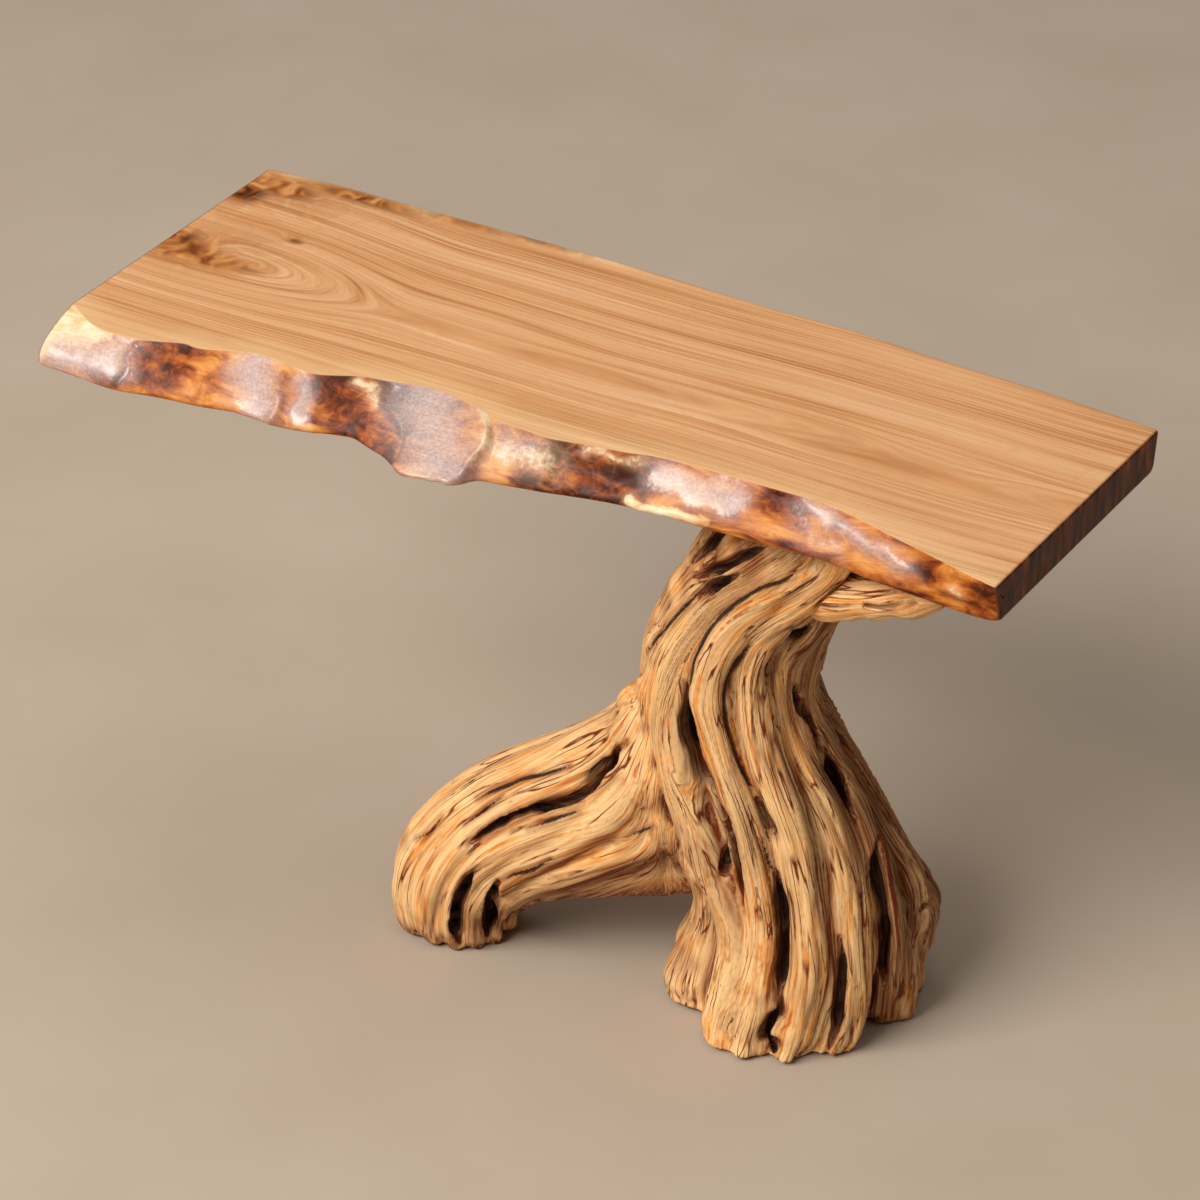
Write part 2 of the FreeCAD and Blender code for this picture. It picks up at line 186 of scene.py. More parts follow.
def lumps(points, size_mm, seed):
    """Smooth noise from 0 to 1, about size_mm from one lump to the next."""
    cells = np.asarray(points, np.float64) / size_mm
    base = np.floor(cells).astype(np.int64)
    part = cells - base
    part = part * part * (3 - 2 * part)
    total = np.zeros(len(cells))
    # Large primes scatter the numbers of the grid's corners.
    for corner in np.ndindex(2, 2, 2):
        place = base + corner
        mixed = place[:, 0] * 73856093 ^ place[:, 1] * 19349663 ^ place[:, 2] * 83492791 ^ seed * 2654435
        mixed = (mixed ^ (mixed >> 13)) * 1274126177 & 0x7FFFFFFF
        weight = np.prod(np.where(corner, part, 1 - part), axis=1)
        total += weight * ((mixed >> 7) % 65536) / 65535
    return total


# %% [markdown]
# ## The camera
# The photograph was taken with a long lens from the right of the front, a third of the way up.
# Long lenses keep the slab's far edge nearly parallel to the near one.  The position comes from
# matching the slab's corners and the feet.

# %% Camera
camera_place = (2.595, -4.270, 3.551)
camera_turn = math.radians(31.2)
camera_drop = math.radians(31.7)

lens = bpy.data.cameras.new("camera")
lens.lens = 150
lens.sensor_width = 36
lens.clip_end = 50
camera = bpy.data.objects.new("camera", lens)
camera.location = camera_place
camera.rotation_euler = (math.pi / 2 - camera_drop, 0, camera_turn)
bpy.context.collection.objects.link(camera)
bpy.context.scene.camera = camera
print("camera at", camera_place)

# %% [markdown]
# ## The root, as a field of distances
# A root like this grew as a bundle of strands that split, twist and join.  Modelling that face
# by face would never end.  A distance field is the better clay: every point of a grid holds its
# distance to the wood, a strand is added by taking the smaller distance, and a crack is carved
# by taking the larger one.  At the end a mesh is drawn where the distance is zero.

# %% The distance field


class WoodField:
    """A grid of distances to the wood, in millimetres: negative inside, positive outside."""

    def __init__(self, low, high, step):
        self.low = np.array(low, float)
        self.step = step
        self.count = np.ceil((np.array(high) - self.low) / step).astype(int) + 1
        self.far = 40.0
        self.values = np.full(self.count, self.far, np.float32)

    def window(self, low, high):
        """The part of the grid between two corners, and the coordinates of its points."""
        first = np.clip(((low - self.low) / self.step).astype(int), 0, self.count - 1)
        last = np.clip(((high - self.low) / self.step).astype(int) + 2, 1, self.count)
        axes = []
        for axis in range(3):
            steps = np.arange(first[axis], last[axis], dtype=np.float32)
            shape = [1, 1, 1]
            shape[axis] = -1
            axes.append((self.low[axis] + self.step * steps).astype(np.float32).reshape(shape))
        return tuple(slice(a, b) for a, b in zip(first, last)), axes

    def axes(self):
        """The coordinates of all points of the grid, one array for each direction."""
        return self.window(self.low, self.low + self.count * self.step)[1]

    def join(self, place, distance, blend):
        """Adds wood, with a soft fillet of about blend millimetres."""
        old = self.values[place]
        share = np.clip(0.5 + 0.5 * (old - distance) / blend, 0, 1)
        self.values[place] = old + (distance - old) * share - blend * share * (1 - share)

    def carve(self, place, distance, blend):
        """Takes wood away, with a soft rim."""
        self.values[place] *= -1
        self.join(place, distance, blend)
        self.values[place] *= -1

    def rod(self, path, radii, blend, work):
        """Joins or carves a round rod that follows a path."""
        for start, end, r_start, r_end in zip(path[:-1], path[1:], radii[:-1], radii[1:]):
            reach = max(r_start, r_end) + 2 * blend + self.step
            place, (x, y, z) = self.window(np.minimum(start, end) - reach, np.maximum(start, end) + reach)
            run = (end - start).astype(np.float32)
            x, y, z = x - np.float32(start[0]), y - np.float32(start[1]), z - np.float32(start[2])
            share = np.clip((x * run[0] + y * run[1] + z * run[2]) / (run @ run), 0, 1)
            gap = (x - share * run[0]) ** 2 + (y - share * run[1]) ** 2 + (z - share * run[2]) ** 2
            work(place, np.sqrt(gap) - (r_start + share * (r_end - r_start)), blend)

    def sample(self, points, values=None):
        """The field's value at any points."""
        values = self.values if values is None else values
        cells = (np.asarray(points) - self.low) / self.step
        base = np.clip(np.floor(cells).astype(int), 0, self.count - 2)
        part = cells - base
        total = np.zeros(len(cells))
        for corner in np.ndindex(2, 2, 2):
            weight = np.prod(np.where(corner, part, 1 - part), axis=1)
            total += weight * values[tuple((base + corner).T)]
        return total

    def slope(self, points, values=None):
        """The direction of growing distance, which points out of the wood."""
        slopes = []
        for step in np.eye(3) * self.step:
            rise = self.sample(points + step, values) - self.sample(points - step, values)
            slopes.append(rise / (2 * self.step))
        return np.stack(slopes, axis=1)

    def settle(self, points, values, level):
        """Moves points along the slope until they lie at a given distance."""
        for _ in range(6):
            slope = self.slope(points, values)
            size = np.maximum((slope ** 2).sum(1), 0.1)
            points = points - slope * ((self.sample(points, values) - level) / size)[:, None]
        return points

    def blurred(self, reach):
        """A copy of the field, averaged over boxes of reach steps each way."""
        smooth = self.values.astype(np.float64)
        for axis in range(3):
            width = [(0, 0)] * 3
            width[axis] = (reach + 1, reach)
            total = np.cumsum(np.pad(smooth, width, mode="edge"), axis=axis)
            size = smooth.shape[axis]
            upper = np.take(total, range(2 * reach + 1, 2 * reach + 1 + size), axis=axis)
            smooth = (upper - np.take(total, range(size), axis=axis)) / (2 * reach + 1)
        return smooth.astype(np.float32)

    def surface(self):
        """Points and four-sided faces where the distance is zero."""
        grid = openvdb.FloatGrid(self.far)
        grid.copyFromArray(np.ascontiguousarray(np.clip(self.values, -self.far, self.far)))
        points, quads = grid.convertToQuads(isovalue=0.0)
        return points * self.step + self.low, quads[:, ::-1]


def smooth_path(rows, spacing):
    """A curve through rows of x, y, z and radius, cut into short equal runs."""
    rows = np.array(rows, float)
    ends = np.vstack([2 * rows[0] - rows[1], rows, 2 * rows[-1] - rows[-2]])
    pieces = []
    for a, b, c, d in zip(ends[:-3], ends[1:-2], ends[2:-1], ends[3:]):
        count = max(1, int(round(np.linalg.norm(c[:3] - b[:3]) / spacing)))
        t = np.linspace(0, 1, count, endpoint=False)[:, None]
        pieces.append(0.5 * (2 * b + (c - a) * t + (2 * a - 5 * b + 4 * c - d) * t ** 2
                             + (3 * b - a - 3 * c + d) * t ** 3))
    pieces.append(rows[-1:])
    return np.vstack(pieces)


# %% [markdown]
# ## The heart of the root
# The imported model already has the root's main form: the leaning trunk and the side root that
# arches away to its own foot.  Its surface is turned into distances, so that everything below
# is carved on exactly that form and stays where the model has it.

# %% Trunk and side root
root_step = 3.4
root_top, root_bottom = 720.0, 1.5


def field_from_node(name, step, room):
    """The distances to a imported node, with some room around it."""
    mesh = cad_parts[name].data
    mesh.calc_loop_triangles()
    points = np.empty(3 * len(mesh.vertices), np.float32)
    mesh.vertices.foreach_get("co", points)
    points = points.reshape(-1, 3) / np.float32(MM)
    corners = np.empty(3 * len(mesh.loop_triangles), np.int32)
    mesh.loop_triangles.foreach_get("vertices", corners)
    first = np.floor((points.min(0) - room) / step).astype(int)
    field = WoodField(first * step, points.max(0) + room, step)
    grid = openvdb.FloatGrid.createLevelSetFromPolygons(
        points, triangles=corners.reshape(-1, 3).astype(np.uint32),
        transform=openvdb.createLinearTransform(step), halfWidth=field.far / step)
    grid.copyToArray(field.values, ijk=tuple(int(i) for i in first))
    return field


root = field_from_node("root_pedestal", root_step, 20.0)
heart = root.values.copy()
print("heart of the root", root.count, "cells", int((heart < 0).sum() * root_step ** 3 / 1e6), "litres")

# %% [markdown]
# ## Strands over the heart
# The strands were traced on the photograph: where each ridge runs, how broad it is and how far
# it stands out.  A traced point only has to be near the surface, because settle() slides it to
# the right depth.  The far side can't be seen, so its strands run up the trunk at even angles
# with a slow wander.  The strands also tell which way the grain flows.

# %% Strands
# Each strand: how far it stands out, then its rows of x, y, z and half width
front_strands = {
    "left_broad": (4, [
        (301, -123, 674, 26), (251, -108, 629, 30), (210, -103, 583, 34), (176, -96, 525, 36),
        (155, -90, 468, 36), (146, -87, 414, 34), (148, -92, 364, 32), (163, -107, 332, 28),
        (184, -113, 300, 24), (203, -108, 264, 20), (217, -103, 230, 20), (231, -103, 195, 20),
        (243, -112, 160, 22), (247, -117, 110, 24), (246, -122, 50, 24), (246, -124, 4, 20)]),
    "middle": (7, [
        (356, -107, 672, 20), (313, -112, 636, 22), (278, -121, 609, 22), (243, -117, 563, 22),
        (220, -110, 514, 22), (210, -100, 464, 22), (220, -107, 431, 22), (232, -112, 396, 22),
        (246, -113, 361, 22), (262, -112, 324, 22), (274, -112, 287, 20), (283, -113, 251, 22),
        (292, -113, 210, 26), (298, -113, 155, 30), (290, -121, 99, 32), (277, -130, 49, 34),
        (273, -134, 6, 30)]),
    "inner": (6, [
        (321, -107, 602, 16), (290, -106, 572, 16), (271, -106, 535, 16), (262, -103, 496, 16),
        (262, -94, 457, 20), (264, -87, 413, 22), (274, -84, 373, 24), (288, -81, 339, 24),
        (300, -80, 308, 20)]),
    "inner_thin": (4, [
        (254, -103, 548, 10), (241, -103, 510, 10), (241, -106, 472, 10), (245, -104, 431, 10),
        (254, -102, 391, 10), (267, -97, 352, 10)]),
    "front_toe": (7, [
        (278, -65, 454, 18), (285, -67, 403, 20), (300, -70, 355, 22), (319, -72, 314, 26),
        (334, -77, 266, 30), (344, -81, 209, 32), (351, -84, 143, 34), (356, -96, 80, 36),
        (352, -107, 34, 34), (347, -116, 4, 28)]),
    "front_lower": (3, [
        (291, -100, 271, 16), (303, -101, 221, 16), (309, -103, 167, 16), (305, -109, 105, 16),
        (303, -112, 55, 16), (300, -118, 4, 14)]),
    "right_front": (6, [
        (292, -61, 497, 18), (297, -51, 439, 18), (307, -42, 390, 18), (324, -29, 332, 20),
        (347, -25, 283, 22), (368, -31, 230, 26), (388, -46, 176, 28), (395, -53, 111, 28),
        (391, -49, 48, 26), (383, -58, 6, 20)]),
    "right_side": (6, [
        (305, -11, 406, 14), (324, 13, 336, 16), (352, 18, 280, 18), (380, 9, 232, 20), (406, -6, 186, 20),
        (420, -13, 124, 20), (422, -19, 60, 18), (420, -19, 6, 16)]),
    "right_edge": (6, [
        (302, 0, 453, 14), (300, 50, 359, 16), (327, 68, 299, 16), (362, 72, 238, 18), (389, 75, 186, 18),
        (415, 56, 152, 18), (427, 34, 98, 18), (428, 26, 40, 16), (426, 26, 6, 14)]),
    "upper_left": (4, [
        (207, -79, 700, 20), (190, -79, 644, 20), (160, -67, 592, 20), (128, -56, 535, 20),
        (105, -47, 480, 18), (92, -40, 428, 16), (70, -20, 375, 16), (33, -10, 330, 18)]),
    "upper_right": (5, [
        (386, -104, 700, 18), (376, -104, 669, 18), (342, -107, 636, 18), (305, -105, 603, 14),
        (279, -104, 572, 10)]),
    "under_limb": (5, [
        (380, -50, 600, 16), (355, -44, 568, 16), (336, -47, 550, 18), (315, -51, 518, 18),
        (303, -43, 484, 16), (300, -30, 440, 14)]),
    "side_top": (3, [
        (263, -113, 661, 18), (206, -100, 609, 20), (156, -84, 543, 20), (126, -78, 485, 20),
        (106, -68, 423, 20), (78, -52, 366, 22), (33, -45, 325, 26), (-5, -64, 298, 28),
        (-46, -84, 270, 30), (-92, -98, 234, 30), (-130, -112, 195, 30), (-159, -124, 151, 28),
        (-179, -131, 108, 26), (-182, -134, 60, 24), (-176, -138, 6, 22)]),
    "side_second": (3, [
        (122, -81, 440, 16), (108, -76, 385, 18), (88, -72, 338, 20), (56, -84, 304, 22),
        (18, -95, 273, 22), (-27, -108, 239, 22), (-68, -120, 205, 22), (-101, -134, 166, 22),
        (-124, -146, 127, 20), (-134, -154, 86, 18), (-135, -155, 43, 16), (-136, -152, 6, 16)]),
    "side_third": (4, [
        (140, -87, 400, 18), (136, -88, 350, 20), (113, -92, 296, 24), (73, -110, 256, 24),
        (28, -122, 228, 24), (-19, -132, 197, 22), (-58, -142, 163, 20), (-87, -151, 123, 18),
        (-103, -152, 77, 14), (-108, -145, 26, 13), (-109, -140, 4, 12)]),
    "side_fourth": (3, [
        (156, -98, 345, 18), (146, -103, 295, 20), (120, -106, 250, 22), (83, -117, 222, 22),
        (38, -128, 195, 20), (-6, -136, 167, 18), (-44, -143, 140, 16), (-71, -145, 106, 13),
        (-85, -133, 54, 12), (-89, -128, 4, 11)]),
    "side_low": (3, [
        (180, -112, 290, 16), (168, -108, 245, 18), (134, -100, 206, 20), (90, -106, 179, 22),
        (37, -111, 147, 20), (-3, -118, 125, 18), (-35, -125, 103, 14), (-63, -109, 55, 12),
        (-72, -100, 4, 11)]),
    "arch_side": (3, [
        (202, -108, 262, 14), (206, -100, 210, 16), (200, -96, 160, 20), (193, -96, 100, 24),
        (188, -97, 45, 26), (190, -108, 6, 24)]),
}
back_angles = (20, 42, 63, 84, 104, 126, 147, 168, 190, 212)
side_turns = (200, 228, 256, 284, 312, 338)
strand_heights = np.linspace(714, 4, 13)

# Trunk: middle of each section in x and y, and its half widths
trunk_heights = (1, 58, 138, 231, 339, 454, 555, 634, 720)
trunk_rows = np.array([
    (271, 20, 140, 162), (279, 28, 141, 152), (306, 34, 119, 140), (251, 9, 129, 126), (211, -9, 113, 104),
    (184, -18, 89, 86), (232, -17, 99, 93), (285, -18, 107, 99), (330, -18, 114, 106)], float)
# Side root: middle of each section, half across, half high, and the lean of its height
side_rows = np.array([
    (112, -24, 268, 82, 168, 92), (45, -37, 211, 82, 124, 92), (-25, -52, 178, 80, 107, 86),
    (-84, -65, 138, 78, 95, 70), (-127, -74, 99, 76, 88, 47), (-151, -79, 57, 74, 84, 22),
    (-149, -79, 26, 70, 78, 8), (-145, -78, 0, 66, 72, 0)], float)
side_out = np.array([-0.977, -0.213, 0.0])
side_across = np.cross((0, 0, 1), side_out)


def trunk_at(height):
    """The trunk's middle in x and y, and its half widths, at a height."""
    return [np.interp(height, trunk_heights, column) for column in trunk_rows.T]


def back_strand(degrees, number):
    """A strand down the far side of the trunk, thicker towards the foot."""
    rows = []
    for height in strand_heights:
        # Two slow waves, in degrees
        wander = 8 * math.sin(height / 95 + 2.1 * number) + 5 * math.sin(height / 41 + number)
        angle = math.radians(degrees + wander)
        x, y, half_x, half_y = trunk_at(height)
        thick = 19 + 4 * math.sin(number * 2.4 + height / 120) + 7 * (1 - height / 720) ** 2
        rows.append((x + half_x * math.cos(angle), y + half_y * math.sin(angle), height, thick))
    return rows


def side_back_strand(degrees, number):
    """A strand along the far side of the side root, from the trunk to its foot."""
    rows = []
    for i, (x, y, z, half_across, half_high, lean) in enumerate(side_rows):
        lean = math.radians(lean)
        high = side_out * math.cos(lean) + np.array([0, 0, math.sin(lean)])
        angle = math.radians(degrees + 5 * math.sin(i * 1.3 + number))
        spot = (x, y, z) + side_across * half_across * math.sin(angle) + high * half_high * math.cos(angle)
        rows.append((*spot, 20 + 3 * math.sin(number * 1.7 + i)))
    return rows


back_rise, side_rise = 6, 5
strands = list(front_strands.values())
strands += [(back_rise, back_strand(degrees, i)) for i, degrees in enumerate(back_angles)]
strands += [(side_rise, side_back_strand(degrees, i)) for i, degrees in enumerate(side_turns)]

shrink = 3.0               # the heart is drawn in by this much, which the strands add again
strand_run, strand_blend, burl_blend = 12.0, 8.0, 10.0      # mm: length of a run, and the fillets
roundness = 1.1            # a strand's radius, as a share of its half width
root.values += np.float32(shrink)
paths = []
for rise, rows in strands:
    path = smooth_path(rows, strand_run)
    spots = root.settle(path[:, :3], heart, 0.0)
    paths.append(spots)
    radii = roundness * path[:, 3]
    centres = root.settle(spots, heart, rise - shrink - radii)
    root.rod(centres, radii, strand_blend, root.join)
# Burls: where one sits, its radius and how far it stands out
burls = [((89, -79, 418), 13, 9), ((110, -76, 494), 18, 8), ((282, 32, 452), 16, 7), ((61, -59, 386), 24, 9)]
for spot, radius, out in burls:
    centre = root.settle(np.array([spot], float), heart, out - radius)[0]
    root.rod(np.array([centre, centre + [0, 0, 6]]), [radius, radius], burl_blend, root.join)
print("strands", len(paths), "burls", len(burls))

# %% [markdown]
# ## Cracks and hollows
# Drying has opened long cracks between the strands, and rot has left a few holes.  They were
# traced like the strands.  The broad ones are cut as a wedge, with a soft rim, so that they go
# dark inside.  The narrow ones are finer than the grid, so they are only marked: the finish
# draws them dark, and the skin dips along them.

# %% Cracks
# Each crack: its rows of x, y, z and half width
cracks = {
    "main_hollow": [
        (186, -110, 470, 5), (190, -107, 435, 11), (197, -105, 395, 16), (210, -108, 358, 19),
        (229, -115, 328, 17), (247, -119, 297, 15), (261, -120, 263, 13), (270, -120, 225, 9),
        (274, -120, 190, 5)],
    "main_hollow_low": [(216, -108, 335, 6), (229, -110, 300, 8), (240, -112, 262, 8), (248, -114, 222, 6)],
    "beside_middle": [
        (272, -105, 554, 4), (253, -105, 515, 6), (243, -106, 479, 6), (242, -106, 444, 6),
        (248, -104, 408, 6), (258, -101, 375, 6), (273, -95, 338, 4)],
    "teardrop": [(280, -86, 336, 4), (290, -83, 318, 6), (299, -82, 302, 9), (304, -82, 290, 8)],
    "front_slit": [
        (309, -88, 248, 4), (316, -89, 220, 6), (323, -88, 189, 7), (326, -90, 151, 7), (325, -93, 110, 6),
        (326, -98, 75, 4.5)],
    "thin_slit": [(283, -103, 287, 4), (292, -102, 262, 4.5), (301, -100, 238, 4)],
    "toe_gap": [(312, -104, 83, 4.5), (315, -103, 57, 6), (309, -109, 26, 6.6), (303, -117, 0, 7)],
    "right_toe_slit": [
        (379, -72, 163, 4), (385, -74, 128, 5.5), (386, -81, 81, 6.5), (383, -83, 41, 6.5),
        (376, -93, 6, 6)],
    "right_hollow": [
        (304, -50, 470, 4), (299, -38, 445, 7), (297, -25, 418, 8), (303, -20, 392, 7), (313, -15, 372, 5)],
    "right_crack": [(318, -10, 372, 5), (331, -7, 346, 8), (347, -6, 313, 7), (364, -4, 283, 5)],
    "right_dark": [
        (365, 16, 255, 5), (381, 4, 235, 7), (396, -9, 206, 8), (405, -14, 174, 7), (412, -23, 113, 7),
        (419, -24, 60, 6)],
    "far_right": [(386, 72, 190, 6), (401, 74, 151, 7), (421, 48, 142, 5)],
    "top_groove": [(300, -120, 694, 4), (262, -115, 664, 7), (226, -106, 634, 7), (184, -80, 594, 5)],
    "top_groove_low": [(266, -118, 648, 4), (232, -108, 618, 7), (196, -96, 580, 5)],
    "top_groove_left": [(232, -100, 690, 4), (205, -88, 650, 7), (172, -70, 604, 5)],
    "long_crease": [
        (341, -121, 687, 4), (325, -119, 662, 4), (295, -124, 641, 5), (262, -119, 609, 5),
        (225, -113, 562, 6), (202, -113, 516, 6), (191, -112, 471, 6), (188, -110, 442, 5)],
    "below_limb": [
        (330, -74, 572, 7), (316, -80, 555, 10), (304, -84, 540, 9), (293, -84, 515, 7),
        (286, -80, 480, 5)],
    "left_seam": [(203, -102, 597, 4), (160, -91, 535, 4.5), (126, -72, 470, 4.5), (105, -70, 400, 4)],
    "side_main": [
        (98, -74, 345, 4), (84, -77, 322, 5), (76, -84, 299, 7), (64, -95, 279, 8), (39, -107, 259, 7),
        (6, -114, 241, 6), (-29, -121, 221, 6), (-59, -129, 197, 6), (-90, -136, 169, 5)],
    "side_upper": [
        (29, -89, 289, 4), (-5, -96, 270, 5), (-35, -99, 258, 5), (-63, -105, 239, 5), (-94, -111, 216, 4)],
    "side_mid": [(-55, -110, 228, 4), (-77, -118, 204, 6), (-97, -125, 183, 5)],
    "side_left": [(-136, -120, 178, 4), (-149, -125, 156, 5), (-167, -126, 139, 4)],
    "side_thin": [(49, -112, 250, 4), (21, -120, 233, 4.5), (-13, -128, 211, 4)],
    "side_right": [(145, -96, 254, 4), (127, -105, 241, 5), (109, -111, 230, 4)],
    "side_fine": [(19, -131, 179, 4), (-4, -134, 157, 4.5), (-29, -139, 144, 4.5), (-45, -141, 131, 4)],
    "foot_slit_outer": [
        (-70, -147, 144, 4), (-86, -150, 126, 6), (-95, -152, 95, 8), (-100, -149, 47, 8),
        (-100, -142, 4, 8)],
    "foot_slit_inner": [(-47, -142, 129, 5), (-65, -130, 82, 8), (-77, -115, 6, 9)],
}
open_crack = 6.4           # cracks at least this broad, in mm from the middle, are cut
crack_run, crack_blend = 4.0, 3.5                           # mm
tip_length = 34            # a crack closes over this length at both ends
wedge = ((-0.1, 1.0), (0.8, 0.8), (1.7, 0.6), (2.5, 0.4))    # depth and width, as shares of the half width
least_cut, border = 1.2, 0.6    # mm: the thinnest cut, and how far its mark reaches past it
skin = root.values.copy()
seam_spots, seam_widths = [], []
for number, rows in enumerate(cracks.values()):
    path = smooth_path(rows, crack_run)
    length = np.concatenate([[0], np.cumsum(np.linalg.norm(np.diff(path[:, :3], axis=0), axis=1))])
    taper = np.clip(np.minimum(length, length[-1] - length) / tip_length, 0, 1) ** 0.7
    size = path[:, 3] * taper * (0.45 + 0.5 * lumps(path[:, :3], 19.0, 40 + number))
    if path[:, 3].max() < open_crack:
        seam_spots.append(root.settle(path[:, :3], skin, 0.0))
        seam_widths.append(0.55 * size + border)
        continue
    for depth, share in wedge:
        spots = root.settle(path[:, :3], skin, -depth * size)
        root.rod(spots, np.maximum(size * share, least_cut), crack_blend, root.carve)
        seam_spots.append(spots)
        seam_widths.append(size * share + border)
grid_z = root.axes()[2]
root.values = np.maximum(root.values, grid_z - np.float32(root_top))
root.values = np.maximum(root.values, np.float32(root_bottom) - grid_z)
print("cracks", len(cracks))

# %% [markdown]
# ## The way the grain flows
# Grain follows the strands, and between two strands it turns smoothly from one to the other.  A
# coarse grid holds that direction.  From each point of the root a line is then followed down the
# grain to the floor: where it lands tells which fibre the point lies on, and its length tells how
# far along the fibre it is.  Streaks and furrows drawn in those coordinates follow the growth.

# %% Flow of the grain
flow_step = 14.0
near_reach, far_reach = 17.0, 70.0        # how far a strand turns the grain around it, in mm
stride_count, longest_stride = 60, 16.0   # of the lines that are followed down
least_fall = 0.02          # level grain counts as falling this much


def gaps_to(points, spots, batch=6000):
    """Squared distances from points to spots, batch by batch, and where each batch lies."""
    spots = spots.astype(np.float32)
    for start in range(0, len(points), batch):
        part = points[start:start + batch].astype(np.float32)
        gap = (part ** 2).sum(1)[:, None] - 2 * part @ spots.T + (spots ** 2).sum(1)
        yield slice(start, start + batch), gap


flow = WoodField(root.low, root.low + root.count * root_step, flow_step)
centres = np.vstack([(p[:-1] + p[1:]) / 2 for p in paths])
tangents = unit(np.vstack([np.diff(p, axis=0) for p in paths]).astype(np.float32))
cells = np.stack(np.meshgrid(*[np.arange(n) for n in flow.count], indexing="ij"), axis=-1).reshape(-1, 3)
cells = (cells * flow_step + flow.low).astype(np.float32)
towards = np.empty((len(cells), 3), np.float32)
for batch, gap in gaps_to(cells, centres):
    weight = np.exp(-gap / (2 * near_reach ** 2)) + 1e-4 * np.exp(-gap / (2 * far_reach ** 2)) + 1e-12
    towards[batch] = weight @ tangents
towards = unit(towards, 1e-12)
towards = [np.ascontiguousarray(towards[:, axis].reshape(flow.count)) for axis in range(3)]


def follow(points):
    """Follows the grain down to the floor: the length gone, and where it lands."""
    spots = points.astype(np.float64).copy()
    gone = np.zeros(len(spots))
    for _ in range(stride_count):
        turn = np.stack([flow.sample(spots, values) for values in towards], axis=1)
        fall = np.maximum(-turn[:, 2], least_fall)
        stride = np.clip(spots[:, 2] / fall, 0, longest_stride)
        spots += turn * stride[:, None]
        gone += stride
    return np.column_stack([gone, spots[:, :2]])


root_points, root_faces = root.surface()
print("root mesh", len(root_points), "points", len(root_faces), "faces")
grain = follow(root_points)
print("grain lengths", np.percentile(grain[:, 0], [1, 50, 99]).round())


def grain_lumps(long_mm, wide_mm, seed):
    """Smooth noise over the root, drawn out along its grain."""
    return lumps(grain / [long_mm, wide_mm, wide_mm], 1.0, seed)


# %% [markdown]
# ## Skin of the root
# Furrows and fine ridges are noise in the coordinates of the grain, so they run along the root.
# They are deeper on the right and at the back, where the weather has eaten more, and their painted
# shade is darker there, on the side away from the light.  Two blurred copies of the field, and the skin
# before the cracks were cut, tell how deep a point lies in a hollow, which gets painted shade.  Seams mark
# the cracks themselves, and a soft crease of painted shade marks the wood beside them.

# %% Furrows and hollows
normals = unit(root.slope(root_points))
# Painted shade: how deep a point lies in a hollow, from the blurred fields and the uncut skin.
hollow_shade = np.max([
    -root.sample(root_points, root.blurred(3)),
    -0.6 * root.sample(root_points, root.blurred(6)),
    -0.5 * root.sample(root_points, skin),
], axis=0)

seam_spots = np.vstack(seam_spots)
seam_widths = np.concatenate(seam_widths).astype(np.float32)
seam, crease_shade = np.zeros(len(root_points)), np.zeros(len(root_points))
for batch, gap in gaps_to(root_points, seam_spots):
    gap = np.sqrt(np.maximum(gap, 0))
    seam[batch] = np.clip(1.7 - (gap / seam_widths).min(1), 0, 1)
    crease_shade[batch] = np.exp(-(gap / (1.6 * seam_widths + 5)).min(1) ** 2)

# Highest on the right and at the back, the side away from the key light: the skin is deeper there, and the
# painted shade in its furrows darker.
worn_and_shaded_side = [0.85, 0.45, -0.2]
worn_and_shaded = np.clip(0.5 + 0.5 * (normals @ worn_and_shaded_side), 0, 1)
worn_and_shaded = np.maximum(0.22 + worn_and_shaded ** 1.7 + 0.4 * (lumps(root_points, 70.0, 6) - 0.5), 0.1)
# Both kinds of furrow are 0 in their valleys and 1 on the ridges between.
broad = np.abs(2 * grain_lumps(170, 17, 3) - 1)
narrow = np.abs(2 * grain_lumps(110, 8, 4) - 1)
knobs = lumps(root_points, 30.0, 5) - 0.5
broad_mm, narrow_mm, knob_mm, seam_mm = 6.0, 3.0, 3.0, 1.6
deepest, highest = -6, 4
lift = worn_and_shaded * (broad_mm * (broad ** 0.7 - 0.6) + narrow_mm * (narrow ** 0.7 - 0.6))
lift = np.clip(lift + knob_mm * knobs - seam_mm * seam, deepest, highest)
flat_end = (root_points[:, 2] < root_bottom + 2) | (root_points[:, 2] > root_top - 2)
lift = np.where(flat_end, 0.0, lift)
# Painted shade in the valleys of the furrows, darker on the worn side.
furrow_shade = 0.9 * np.exp(-(broad / 0.14) ** 2) + 0.5 * np.exp(-(narrow / 0.16) ** 2)
furrow_shade = np.clip(worn_and_shaded * furrow_shade, 0, 1)
root_points = root_points + normals * lift[:, None]
root_points[:, 2] = np.clip(root_points[:, 2], root_bottom, root_top)
print("hollow_shade", np.percentile(hollow_shade, [1, 10, 50, 90, 99]).round(2))
print("lift", np.percentile(lift, [1, 50, 99]).round(2))
